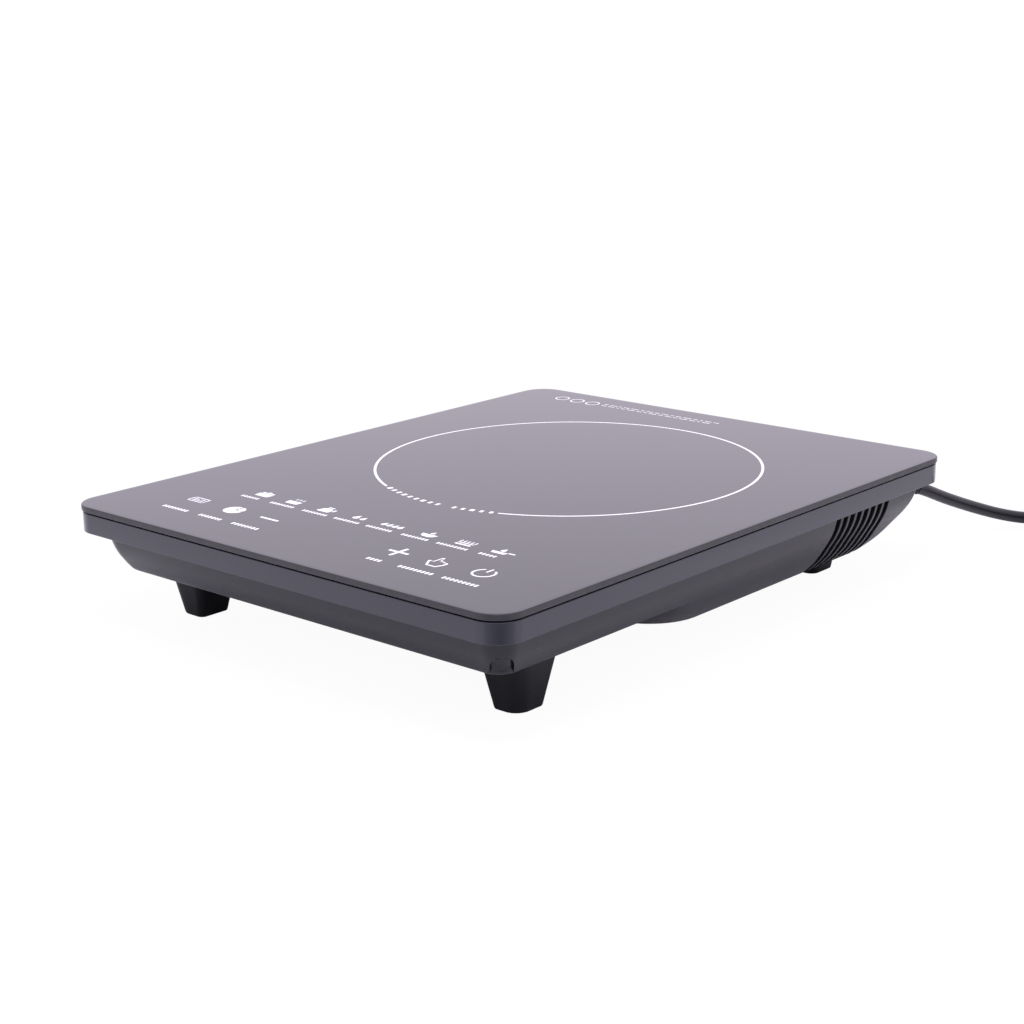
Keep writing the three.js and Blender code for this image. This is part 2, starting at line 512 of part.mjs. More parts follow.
// plug: round body lying on its rim, axis rising towards the pins, which point to -Y
const PLUG_X = HANK_C[0] + HANK_R[2];
const PLUG_TILT = THREE.MathUtils.degToRad(7.5);
{
  const rear = [PLUG_X, 236, 12.1];
  const place = (g) => {
    g.rotateX(Math.PI / 2 - PLUG_TILT);   // local +Z runs from the cord to the pins
    g.translate(...rear);
    return g;
  };
  const body = turned(0, 0, [[0, 0], [4.2, 0], [5.4, 14], [6.2, 20], [12.5, 24], [15.5, 31], [16, 44], [18.4, 48], [18.6, 60], [17.8, 61], [0, 61]], 24);
  put('plug_body', place(body), cordBlack);
  [-9.5, 9.5].forEach((dx, k) => put(`plug_pin_${k + 1}`, place(turned(dx, 0, [[0, 61.3], [2.4, 61.3], [2.4, 78.5], [1.6, 80], [0, 80]], 10)), brass));
  const tail = [];
  for (let k = 0; k <= 4; k++) {
    const u = k / 4;
    tail.push([PLUG_X, HANK_C[1] - 4.5 - u * (HANK_C[1] - 4.5 - 236.4), 10.5 + 1.5 * Math.min(1, 1.6 * u)]);
  }
  let t = toManifold(bar(tail, CORD_D / 2, 10));
  const r1 = HANK_R[2] + CORD_D / 2 + 0.5;
  t = t.subtract(toManifold(cyl(...HANK_C, -1, 16, r1, 32)));
  put('cord_tail', t, cordBlack);
}

export default group;
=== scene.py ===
"""Looks of the portable induction cooktop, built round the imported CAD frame. Metres, +Z up."""

import json
import math

import bmesh
import bpy
import numpy as np
from mathutils import Matrix, Vector


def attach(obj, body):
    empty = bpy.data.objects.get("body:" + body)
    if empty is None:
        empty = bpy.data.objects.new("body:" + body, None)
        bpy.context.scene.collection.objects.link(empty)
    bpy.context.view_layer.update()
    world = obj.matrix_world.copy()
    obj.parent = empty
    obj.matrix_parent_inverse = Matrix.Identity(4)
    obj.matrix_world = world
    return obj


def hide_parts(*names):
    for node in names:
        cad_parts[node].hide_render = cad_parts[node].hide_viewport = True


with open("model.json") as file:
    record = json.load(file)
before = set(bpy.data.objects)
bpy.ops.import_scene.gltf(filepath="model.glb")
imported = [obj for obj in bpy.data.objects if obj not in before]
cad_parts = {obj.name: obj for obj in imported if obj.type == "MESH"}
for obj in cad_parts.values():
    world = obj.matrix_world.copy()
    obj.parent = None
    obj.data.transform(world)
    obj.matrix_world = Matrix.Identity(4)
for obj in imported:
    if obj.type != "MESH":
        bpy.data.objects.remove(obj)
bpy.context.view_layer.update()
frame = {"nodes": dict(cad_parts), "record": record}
NODES = frame["nodes"]
RECORD = frame["record"]
SLOT_OF = {p["node"]: p["material_slot"] for p in RECORD["subparts"]}
MM = 0.001

# ------------------------------------------------------------------ camera
def make_camera():
    az, el, roll = (math.radians(a) for a in (41.57, 15.36, -0.70))
    back = Vector((math.sin(az) * math.cos(el), -math.cos(az) * math.cos(el), math.sin(el)))
    x = Vector((0, 0, 1)).cross(back).normalized()
    y = back.cross(x)
    xr = math.cos(roll) * x + math.sin(roll) * y
    yr = -math.sin(roll) * x + math.cos(roll) * y
    m = Matrix((xr, yr, back)).transposed().to_4x4()
    m.translation = (0.62979, -0.72016, 0.30480)
    data = bpy.data.cameras.new("camera")
    data.sensor_width = 36
    data.lens = 68.80
    data.clip_start = 0.01
    data.clip_end = 100
    cam = bpy.data.objects.new("camera", data)
    cam.matrix_world = m
    bpy.context.scene.collection.objects.link(cam)
    bpy.context.scene.camera = cam


make_camera()


# ------------------------------------------------------------------ mesh helpers (millimetres in, metres out)
def link(obj):
    bpy.context.scene.collection.objects.link(obj)
    return obj


def mesh_obj(name, verts, faces, sharp=35, fix=True):
    me = bpy.data.meshes.new(name)
    me.from_pydata([(float(v[0]) * MM, float(v[1]) * MM, float(v[2]) * MM) for v in verts], [],
                   [list(map(int, f)) for f in faces])
    if fix:
        bm = bmesh.new()
        bm.from_mesh(me)
        bmesh.ops.recalc_face_normals(bm, faces=bm.faces)
        bm.to_mesh(me)
        bm.free()
    me.update()
    o = link(bpy.data.objects.new(name, me))
    shade(o, sharp)
    return o


def shade(o, sharp=35):
    o.data.shade_smooth()
    o.data.set_sharp_from_angle(angle=math.radians(sharp))


def merge(parts):
    """Several (verts, faces) as one."""
    V, F, n = [], [], 0
    for v, f in parts:
        V.extend([tuple(p) for p in v])
        F.extend([[i + n for i in q] for q in f])
        n += len(v)
    return V, F


def loft(rings, loop=False, cap=True):
    n = len(rings[0])
    V = [tuple(p) for r in rings for p in r]
    F = []
    last = len(rings) if loop else len(rings) - 1
    for k in range(last):
        a, b = k * n, ((k + 1) % len(rings)) * n
        for i in range(n):
            j = (i + 1) % n
            F.append((a + i, a + j, b + j, b + i))
    if not loop and cap:
        F.append(tuple(reversed(range(n))))
        e = (len(rings) - 1) * n
        F.append(tuple(range(e, e + n)))
    return V, F


def rrect(x0, x1, y0, y1, r, z, seg=18):
    """Rounded rectangle ring; r = (+x-y, +x+y, -x+y, -x-y) or one number."""
    rr = r if isinstance(r, (list, tuple)) else (r, r, r, r)
    cs = [(x1, y0, -90, -1, 1), (x1, y1, 0, -1, -1), (x0, y1, 90, 1, -1), (x0, y0, 180, 1, 1)]
    out = []
    for k, (cx, cy, a0, sx, sy) in enumerate(cs):
        for i in range(seg + 1):
            a = math.radians(a0 + 90 * i / seg)
            out.append((cx + sx * rr[k] + rr[k] * math.cos(a), cy + sy * rr[k] + rr[k] * math.sin(a), z))
    return out


def ring_row(row, seg=18):
    """row = [half width, front y, rear y, front radius, rear radius, z]"""
    hx, y0, y1, rf, rr, z = row
    return rrect(-hx, hx, y0, y1, (rf, rr, rr, rf), z, seg)


def soften(rows, dist, seg=5, loop=False):
    """Rounds the vertices of a path of rows, each by its own distance along the adjoining legs."""
    rows = [np.array(r, float) for r in rows]
    out = []
    n = len(rows)
    for k in range(n):
        d = dist[k]
        if d <= 0 or (not loop and k in (0, n - 1)):
            out.append(rows[k])
            continue
        a, v, b = rows[k - 1], rows[k], rows[(k + 1) % n]
        la = math.hypot(*(a - v)[[0, -1]])
        lb = math.hypot(*(b - v)[[0, -1]])
        p = v + (a - v) * min(0.5, d / la)
        q = v + (b - v) * min(0.5, d / lb)
        for i in range(seg + 1):
            t = i / seg
            out.append((1 - t) ** 2 * p + 2 * t * (1 - t) * v + t * t * q)
    return out


def catmull(rows, per=5):
    """Centripetal Catmull-Rom through rows of any width."""
    P = [np.array(r, float) for r in rows]
    P = [2 * P[0] - P[1]] + P + [2 * P[-1] - P[-2]]
    out = []
    for k in range(1, len(P) - 2):
        p0, p1, p2, p3 = P[k - 1:k + 3]
        d = [max(1e-6, np.linalg.norm(b - a)) ** 0.5 for a, b in ((p0, p1), (p1, p2), (p2, p3))]
        m1 = (p2 - p1) + d[1] * ((p1 - p0) / d[0] - (p2 - p0) / (d[0] + d[1]))
        m2 = (p2 - p1) + d[1] * ((p3 - p2) / d[2] - (p3 - p1) / (d[1] + d[2]))
        for i in range(per):
            t = i / per
            out.append((2 * t ** 3 - 3 * t ** 2 + 1) * p1 + (t ** 3 - 2 * t ** 2 + t) * m1
                       + (-2 * t ** 3 + 3 * t ** 2) * p2 + (t ** 3 - t ** 2) * m2)
    out.append(P[-2])
    return out


def lathe(profile, x=0, y=0, seg=48, close=False):
    """Solid of revolution about a vertical axis; profile is [(radius, z)], closed on itself if close."""
    V, F = [], []
    n = len(profile)
    idx = []
    for (r, z) in profile:
        if r < 1e-6:
            idx.append([len(V)])
            V.append((x, y, z))
        else:
            idx.append([len(V) + i for i in range(seg)])
            V += [(x + r * math.cos(2 * math.pi * i / seg), y + r * math.sin(2 * math.pi * i / seg), z) for i in range(seg)]
    pairs = [(k, k + 1) for k in range(n - 1)] + ([(n - 1, 0)] if close else [])
    for a, b in pairs:
        A, B = idx[a], idx[b]
        for i in range(seg):
            j = (i + 1) % seg
            if len(A) == 1 and len(B) == 1:
                continue
            if len(A) == 1:
                F.append((A[0], B[j], B[i]))
            elif len(B) == 1:
                F.append((A[i], A[j], B[0]))
            else:
                F.append((A[i], A[j], B[j], B[i]))
    return V, F


def round_profile(pts, rad, seg=4, close=False):
    """Rounds the corners of a 2D profile by quadratic arcs."""
    out = []
    n = len(pts)
    P = [np.array(p, float) for p in pts]
    for k in range(n):
        r = rad[k]
        if r <= 0 or (not close and k in (0, n - 1)):
            out.append(tuple(P[k]))
            continue
        a, v, b = P[k - 1], P[k], P[(k + 1) % n]
        la, lb = np.linalg.norm(a - v), np.linalg.norm(b - v)
        p = v + (a - v) * min(0.5, r / la)
        q = v + (b - v) * min(0.5, r / lb)
        for i in range(seg + 1):
            t = i / seg
            out.append(tuple((1 - t) ** 2 * p + 2 * t * (1 - t) * v + t * t * q))
    return out


def cyl(x, y, z0, z1, r, seg=40, r2=None):
    r2 = r if r2 is None else r2
    a = [(x + r * math.cos(2 * math.pi * i / seg), y + r * math.sin(2 * math.pi * i / seg), z0) for i in range(seg)]
    b = [(x + r2 * math.cos(2 * math.pi * i / seg), y + r2 * math.sin(2 * math.pi * i / seg), z1) for i in range(seg)]
    return loft([a, b])


def boxm(x0, x1, y0, y1, z0, z1):
    return loft([[(x0, y0, z0), (x1, y0, z0), (x1, y1, z0), (x0, y1, z0)],
                 [(x0, y0, z1), (x1, y0, z1), (x1, y1, z1), (x0, y1, z1)]])


def tube(points, radii, seg=16, cap=True, side0=None):
    """Round bar along points (mm)."""
    P = [Vector(p) for p in points]
    rings = []
    side = Vector(side0) if side0 else None
    d = None
    for k, p in enumerate(P):
        e = P[min(k + 1, len(P) - 1)] - P[max(k - 1, 0)]
        if e.length > 1e-9:
            d = e.normalized()
        if side is None:
            side = (Vector((1, 0, 0)) if abs(d.z) > 0.9 else Vector((0, 0, 1))).cross(d)
        side = (side - d * side.dot(d)).normalized()
        up = d.cross(side).normalized()
        r = radii[k] if isinstance(radii, (list, tuple)) else radii
        rings.append([tuple(p + side * r * math.cos(2 * math.pi * i / seg) + up * r * math.sin(2 * math.pi * i / seg))
                      for i in range(seg)])
    return loft(rings, cap=cap)


def boolean(obj, cutter, op):
    m = obj.modifiers.new("b", "BOOLEAN")
    m.operation = op
    m.solver = "EXACT"
    m.object = cutter
    bpy.context.view_layer.update()
    deps = bpy.context.evaluated_depsgraph_get()
    new = bpy.data.meshes.new_from_object(obj.evaluated_get(deps))
    obj.modifiers.clear()
    old = obj.data
    obj.data = new
    bpy.data.meshes.remove(old)
    bpy.data.objects.remove(cutter)
    return obj


def apply_mods(obj):
    bpy.context.view_layer.update()
    deps = bpy.context.evaluated_depsgraph_get()
    new = bpy.data.meshes.new_from_object(obj.evaluated_get(deps))
    obj.modifiers.clear()
    old = obj.data
    obj.data = new
    bpy.data.meshes.remove(old)


def rotz(part, deg, cx=0.0, cy=0.0):
    c, s = math.cos(math.radians(deg)), math.sin(math.radians(deg))
    return [(cx + (x - cx) * c - (y - cy) * s, cy + (x - cx) * s + (y - cy) * c, z) for x, y, z in part[0]], part[1]


def shift(part, dx, dy, dz=0.0):
    return [(x + dx, y + dy, z + dz) for x, y, z in part[0]], part[1]


# ------------------------------------------------------------------ materials
class Mat:
    def __init__(self, name):
        self.m = bpy.data.materials.new(name)
        self.m.use_nodes = True
        self.t = self.m.node_tree
        self.b = self.t.nodes["Principled BSDF"]
        self.coord = self.t.nodes.new("ShaderNodeTexCoord")

    def noise(self, scale, detail=3, rough=0.5, stretch=None, kind="ShaderNodeTexNoise"):
        n = self.t.nodes.new(kind)
        n.inputs["Scale"].default_value = scale
        if "Detail" in n.inputs:
            n.inputs["Detail"].default_value = detail
        if kind == "ShaderNodeTexNoise":
            n.inputs["Roughness"].default_value = rough
        src = self.coord.outputs["Object"]
        if stretch:
            mp = self.t.nodes.new("ShaderNodeMapping")
            mp.inputs["Scale"].default_value = stretch
            self.t.links.new(src, mp.inputs["Vector"])
            src = mp.outputs["Vector"]
        self.t.links.new(src, n.inputs["Vector"])
        return n.outputs[0]

    def ramp(self, fac, stops):
        r = self.t.nodes.new("ShaderNodeValToRGB")
        e = r.color_ramp.elements
        e[0].position, e[0].color = stops[0][0], (*stops[0][1], 1)
        e[1].position, e[1].color = stops[-1][0], (*stops[-1][1], 1)
        for p, c in stops[1:-1]:
            x = e.new(p)
            x.color = (*c, 1)
        self.t.links.new(fac, r.inputs["Fac"])
        return r.outputs["Color"]

    def range(self, fac, lo, hi, a=0.3, b=0.7):
        r = self.t.nodes.new("ShaderNodeMapRange")
        r.inputs["From Min"].default_value = a
        r.inputs["From Max"].default_value = b
        r.inputs["To Min"].default_value = lo
        r.inputs["To Max"].default_value = hi
        self.t.links.new(fac, r.inputs["Value"])
        return r.outputs["Result"]

    def math(self, op, a, b):
        n = self.t.nodes.new("ShaderNodeMath")
        n.operation = op
        for k, v in ((0, a), (1, b)):
            if isinstance(v, (int, float)):
                n.inputs[k].default_value = v
            else:
                self.t.links.new(v, n.inputs[k])
        return n.outputs[0]

    def to(self, name, out):
        self.t.links.new(out, self.b.inputs[name])

    def set(self, **kw):
        for k, v in kw.items():
            self.b.inputs[k.replace("_", " ")].default_value = v

    def bump(self, fac, dist, strength=1.0, prev=None):
        n = self.t.nodes.new("ShaderNodeBump")
        n.inputs["Distance"].default_value = dist
        n.inputs["Strength"].default_value = strength
        self.t.links.new(fac, n.inputs["Height"])
        if prev is not None:
            self.t.links.new(prev, n.inputs["Normal"])
        self.t.links.new(n.outputs["Normal"], self.b.inputs["Normal"])
        return n.outputs["Normal"]


def plastic(name, c1, c2, rough, grain=2600, grain_d=0.000012, blotch=22, ior=1.5, peel=0.0, spec=0.5):
    k = Mat(name)
    k.to("Base Color", k.ramp(k.noise(blotch, 4, 0.6), [(0.3, c1), (0.7, c2)]))
    smear = k.noise(70, 5, 0.65)
    k.to("Roughness", k.range(smear, rough[0], rough[1]))
    k.set(IOR=ior, Specular_IOR_Level=spec)
    n = k.bump(k.noise(grain, 2, 0.5), grain_d, 0.6)
    if peel:
        k.bump(k.noise(240, 1, 0.4), peel, 0.5, n)
    return k.m


def foot_plastic_painted_shade():
    k = Mat("foot_black")
    # base colour set well below the housing's dark plastic: painted shade cast by the tub over the feet
    k.to("Base Color", k.ramp(k.noise(40, 4, 0.6), [(0.3, (0.0020, 0.0022, 0.0030)), (0.7, (0.0032, 0.0034, 0.0044))]))
    k.to("Roughness", k.range(k.noise(120, 4, 0.6), 0.36, 0.48))
    k.set(Specular_IOR_Level=0.20)
    k.bump(k.noise(2200, 2, 0.5), 0.000004, 0.5)
    return k.m


def metal(name, c1, c2, rough, scale=900, dist=0.00001, stretch=None):
    k = Mat(name)
    k.to("Base Color", k.ramp(k.noise(160, 4, 0.6), [(0.25, c1), (0.75, c2)]))
    k.set(Metallic=1.0)
    k.to("Roughness", k.range(k.noise(420, 4, 0.6, stretch), rough[0], rough[1]))
    k.bump(k.noise(scale, 3, 0.6, stretch), dist, 0.5)
    return k.m


def board(name):
    """Printed circuit board: green mask with tracks and pads."""
    k = Mat(name)
    cells = k.t.nodes.new("ShaderNodeTexBrick")
    cells.inputs["Scale"].default_value = 90
    cells.inputs["Color1"].default_value = (0.010, 0.085, 0.030, 1)
    cells.inputs["Color2"].default_value = (0.016, 0.120, 0.045, 1)
    cells.inputs["Mortar"].default_value = (0.030, 0.200, 0.080, 1)
    cells.inputs["Mortar Size"].default_value = 0.03
    k.t.links.new(k.coord.outputs["Object"], cells.inputs["Vector"])
    k.to("Base Color", cells.outputs["Color"])
    k.to("Roughness", k.range(k.noise(300, 3, 0.5), 0.3, 0.5))
    k.bump(cells.outputs["Fac"], 0.00004, 0.6)
    return k.m


def glass_black():
    k = Mat("glass_black")
    k.to("Base Color", k.ramp(k.noise(9, 3, 0.5), [(0.3, (0.0045, 0.0044, 0.0055)), (0.7, (0.0065, 0.0062, 0.0075))]))
    k.to("Roughness", k.range(k.noise(14, 5, 0.62), 0.035, 0.075))
    k.set(IOR=1.52)
    k.bump(k.noise(40, 2, 0.5), 0.000004, 0.35)
    return k.m


def ground_glass():
    """The ground, unpolished edge of the plate."""
    k = Mat("glass_edge")
    k.to("Base Color", k.ramp(k.noise(260, 4, 0.6), [(0.3, (0.017, 0.0165, 0.019)), (0.7, (0.024, 0.023, 0.027))]))
    k.to("Roughness", k.range(k.noise(500, 3, 0.6), 0.38, 0.5))
    k.set(IOR=1.42)
    k.bump(k.noise(2600, 2, 0.5), 0.00001, 0.5)
    return k.m


def inner_matte_painted_shade():
    """Unpolished inner faces of the housing; their darker base colour is painted shade of the closed interior."""
    k = Mat("tub_inner_painted_shade")
    # base colour darker than the outer plastic: painted shade of the enclosed interior
    k.to("Base Color", k.ramp(k.noise(60, 3, 0.5), [(0.3, (0.0035, 0.0035, 0.004)), (0.7, (0.005, 0.005, 0.006))]))
    k.to("Roughness", k.range(k.noise(90, 3, 0.5), 0.7, 0.85))
    k.set(Specular_IOR_Level=0.15)
    k.bump(k.noise(1500, 2, 0.5), 0.00003, 0.5)
    return k.m


def enamel():
    k = Mat("print_white")
    k.to("Base Color", k.ramp(k.noise(700, 3, 0.6), [(0.3, (0.80, 0.80, 0.82)), (0.7, (0.88, 0.88, 0.90))]))
    k.to("Roughness", k.range(k.noise(900, 3, 0.6), 0.35, 0.55))
    k.bump(k.noise(3000, 2, 0.5), 0.000005, 0.4)
    return k.m


def litz():
    k = Mat("copper_litz")
    strand = k.t.nodes.new("ShaderNodeTexWave")
    strand.wave_type = "BANDS"
    strand.bands_direction = "DIAGONAL"
    strand.inputs["Scale"].default_value = 420
    strand.inputs["Distortion"].default_value = 2
    k.t.links.new(k.coord.outputs["Object"], strand.inputs["Vector"])
    k.to("Base Color", k.ramp(strand.outputs["Fac"], [(0.2, (0.30, 0.10, 0.035)), (0.8, (0.62, 0.26, 0.10))]))
    k.set(Metallic=0.9)
    k.to("Roughness", k.range(k.noise(500, 4, 0.6), 0.28, 0.45))
    k.bump(strand.outputs["Fac"], 0.0001, 0.7)
    return k.m


def mottled(name, c1, c2, rough, scale=500, dist=0.00003, metallic=0.0):
    k = Mat(name)
    k.to("Base Color", k.ramp(k.noise(scale, 4, 0.65), [(0.25, c1), (0.75, c2)]))
    k.set(Metallic=metallic)
    k.to("Roughness", k.range(k.noise(scale * 1.7, 3, 0.6), rough[0], rough[1]))
    k.bump(k.noise(scale * 2.3, 3, 0.6), dist, 0.6)
    return k.m


PAINT = {
    "glass_black": glass_black(),
    "seal_black": plastic("seal_black", (0.004, 0.004, 0.005), (0.007, 0.007, 0.008), (0.6, 0.8)),
    "frame_black": plastic("frame_black", (0.0140, 0.0152, 0.0235), (0.0155, 0.0168, 0.0255), (0.17, 0.21), 2600, 0.000001, 12, 1.5, 0.000001),
    "tub_black": plastic("tub_black", (0.0062, 0.0068, 0.0104), (0.0072, 0.0078, 0.0116), (0.27, 0.31), 2400, 0.0000012, 12, 1.46, 0.000001, 0.36),
    "foot_black": foot_plastic_painted_shade(),
    "screw_steel": metal("screw_steel", (0.36, 0.36, 0.37), (0.52, 0.52, 0.53), (0.28, 0.42)),
    "carrier_plastic": plastic("carrier_plastic", (0.60, 0.57, 0.48), (0.68, 0.65, 0.56), (0.45, 0.6)),
    "copper_litz": litz(),
    "ferrite": mottled("ferrite", (0.022, 0.022, 0.024), (0.045, 0.045, 0.048), (0.5, 0.75)),
    "mica": mottled("mica", (0.50, 0.44, 0.31), (0.68, 0.62, 0.48), (0.35, 0.6), 160, 0.00004),
    "silicone": plastic("silicone", (0.68, 0.67, 0.63), (0.76, 0.75, 0.71), (0.5, 0.65)),
    "fan_plastic": plastic("fan_plastic", (0.010, 0.010, 0.011), (0.016, 0.016, 0.017), (0.35, 0.5)),
    "board_green": board("board_green"),
    "heat_sink_aluminium": metal("heat_sink_aluminium", (0.55, 0.56, 0.58), (0.72, 0.73, 0.75), (0.25, 0.42), 700, 0.00003, (1, 12, 12)),
    "package_black": plastic("package_black", (0.009, 0.009, 0.010), (0.014, 0.014, 0.015), (0.45, 0.6)),
    "capacitor_yellow": plastic("capacitor_yellow", (0.52, 0.33, 0.045), (0.60, 0.40, 0.07), (0.35, 0.5)),
    "choke_green": mottled("choke_green", (0.020, 0.090, 0.050), (0.035, 0.130, 0.075), (0.4, 0.6), 700),
    "terminal_plastic": plastic("terminal_plastic", (0.62, 0.61, 0.56), (0.70, 0.69, 0.64), (0.4, 0.55)),
    "spring_steel": metal("spring_steel", (0.42, 0.42, 0.43), (0.58, 0.58, 0.60), (0.2, 0.35)),
    "lead_sleeve": plastic("lead_sleeve", (0.58, 0.56, 0.52), (0.68, 0.66, 0.62), (0.5, 0.65), 1800, 0.00003),
    "cord_black": plastic("cord_black", (0.0048, 0.0050, 0.0068), (0.0066, 0.0068, 0.0090), (0.34, 0.42), 1500, 0.000005, 40, 1.42, 0.0, 0.40),
    "pin_nickel": metal("pin_nickel", (0.56, 0.55, 0.52), (0.70, 0.69, 0.66), (0.16, 0.28)),
}


def finish_piece(o, node, body="cooktop", slot=None, mat=None, replaces=None):
    """Gives a new piece its material and its body, and hides the CAD nodes that it stands for."""
    s = slot or SLOT_OF[node]
    o.data.materials.clear()
    o.data.materials.append(mat or PAINT[s])
    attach(o, body)
    names = replaces if replaces is not None else [node]
    if names:
        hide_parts(*names)
    return o


# ------------------------------------------------------------------ mains lead: route, coil, tie, plug
D = 6.6                                  # lead diameter, mm
EXIT = (115.0, 164.9, 40.0)
ROUTE = [(115, 164.9, 40), (115.3, 172, 39.5), (116.2, 180, 37.9), (118.6, 189.5, 34.8), (121.8, 209.5, 26.2), (126.5, 232.7, 17),
         (132.6, 253.8, 9.4), (139.8, 270, 5.0), (148.6, 284.0, 3.7), (158.4, 293.4, 3.6), (168.8, 299.9, 3.6), (177.5, 304.4, 3.6)]
HANK = (207.7, 268.8)
R3 = (45.5, 38.5, 31.5)
Z_LOW, Z_HIGH = 3.6, 10.35
PLUG_REAR = (HANK[0] + R3[0], 236.0, 12.1)
TILT = math.radians(7.5)


def step(x, a, b, v0, v1):
    t = min(1.0, max(0.0, (x - a) / (b - a)))
    t = t * t * t * (t * (6 * t - 15) + 10)
    return v0 + (v1 - v0) * t


def coil_point(s):
    """s degrees along the coil, clockwise seen from above."""
    r = step(s, 235, 360, R3[0], R3[1])
    if s > 500:
        r = step(s, 595, 720, R3[1], R3[2])
    z = step(s, 875, 985, Z_LOW, Z_HIGH)
    if s > 1000:
        r = step(s, 1115, 1240, R3[2], R3[1])
    if s > 1350:
        r = step(s, 1475, 1600, R3[1], R3[0])
    th = math.radians(117.4 - s)
    return (HANK[0] + r * math.cos(th), HANK[1] + r * math.sin(th), z)


def lead_path():
    free = [tuple(p) for p in catmull(ROUTE, 24)]
    j = coil_point(0)
    last = free[-1]
    free += [tuple(np.array(last) + (np.array(j) - np.array(last)) * t) for t in (0.35, 0.7)]
    coil_n = 1917.4
    coil = [coil_point(coil_n * i / 1400) for i in range(1401)]
    e = coil[-1]
    tail = []
    for i in range(1, 24):
        t = i / 23
        y = e[1] + (PLUG_REAR[1] - 9 - e[1]) * t
        z = e[2] + 1.6 * step(t, 0.0, 0.8, 0.0, 1.0) + 1.2 * max(0.0, t - 0.75)
        tail.append((e[0], y, z))
    return free, coil, tail


def resample(points, count):
    P = np.array(points, float)
    d = np.r_[0, np.cumsum(np.linalg.norm(np.diff(P, axis=0), axis=1))]
    want = np.linspace(0, d[-1], count)
    return np.stack([np.interp(want, d, P[:, i]) for i in range(3)], axis=1)


def make_cord():
    free, coil, tail = lead_path()
    whole = np.array(free + coil + tail)
    seg = np.linalg.norm(np.diff(whole, axis=0), axis=1)
    keep = np.r_[True, seg > 1e-6]
    whole = whole[keep]
    # smooth the joins a little, then take control points at even steps
    fine = resample(whole, 3200)
    for _ in range(60):
        fine[1:-1] += 0.25 * (fine[:-2] - 2 * fine[1:-1] + fine[2:])
    length = float(np.linalg.norm(np.diff(fine, axis=0), axis=1).sum())
    ctrl = np.linspace(0, len(fine) - 1, 148).round().astype(int)
    cu = bpy.data.curves.new("mains_lead", "CURVE")
    cu.dimensions = "3D"
    sp = cu.splines.new("BEZIER")
    sp.bezier_points.add(len(ctrl) - 1)
    for k, i in enumerate(ctrl):
        p = fine[i]
        t = fine[min(i + 3, len(fine) - 1)] - fine[max(i - 3, 0)]
        t = t / np.linalg.norm(t)
        prev = np.linalg.norm(fine[i] - fine[ctrl[max(k - 1, 0)]]) / 3
        nxt = np.linalg.norm(fine[ctrl[min(k + 1, len(ctrl) - 1)]] - fine[i]) / 3
        b = sp.bezier_points[k]
        b.handle_left_type = b.handle_right_type = "FREE"
        b.co = [c * MM for c in p]
        b.handle_left = [c * MM for c in p - t * (prev or nxt)]
        b.handle_right = [c * MM for c in p + t * (nxt or prev)]
    cu.resolution_u = 8
    cu.bevel_depth = D / 2 * MM
    cu.bevel_resolution = 7
    cu.use_fill_caps = True
    cu.twist_mode = "MINIMUM"
    o = link(bpy.data.objects.new("mains_lead", cu))
    cu.materials.append(PAINT["cord_black"])
    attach(o, "cooktop")
    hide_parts("power_cord", "cord_coil", "cord_tail")
    return o, length, fine


lead, lead_length, lead_line = make_cord()


def along(s):
    """Point of the lead s mm from its start."""
    d = np.r_[0, np.cumsum(np.linalg.norm(np.diff(lead_line, axis=0), axis=1))]
    return tuple(float(np.interp(s, d, lead_line[:, i])) for i in range(3))


def make_grip():
    """Entry bush with a ribbed, tapered sleeve that bends with the lead."""
    pts, rad = [], []

    def back(s):
        return (EXIT[0], EXIT[1] + s, EXIT[2])
    for s, r in ((-15, 3.5), (-9.2, 3.5), (-9.1, 7.0), (-8.9, 7.4), (-7.1, 7.4), (-6.9, 7.0), (-6.8, 4.95), (0.0, 4.95), (0.9, 4.95)):
        pts.append(back(s))
        rad.append(r)
    s = 1.6
    pts.append(along(s))
    rad.append(5.0)
    k = 0
    while s < 20.2:                                   # ribs
        base = 4.15 + 0.95 * max(0.0, 1 - (s - 1.6) / 8.0) ** 1.5 - 0.42 * (s - 1.6) / 19
        for ds, dr in ((0.15, -0.08), (0.45, 0.08), (1.25, 0.08), (1.55, -0.08), (1.75, -0.3), (2.25, -0.3)):
            pts.append(along(s + ds))
            rad.append(base + dr - 0.07 * ds)
        s += 2.4
        k += 1
    for ds, r in ((20.9, 3.72), (21.5, 3.68), (21.7, 3.55), (21.75, 3.32)):
        pts.append(along(ds))
        rad.append(r)
    o = mesh_obj("entry_sleeve", *tube(pts, rad, 40), sharp=40)
    return finish_piece(o, "cord_grip")


grip = make_grip()


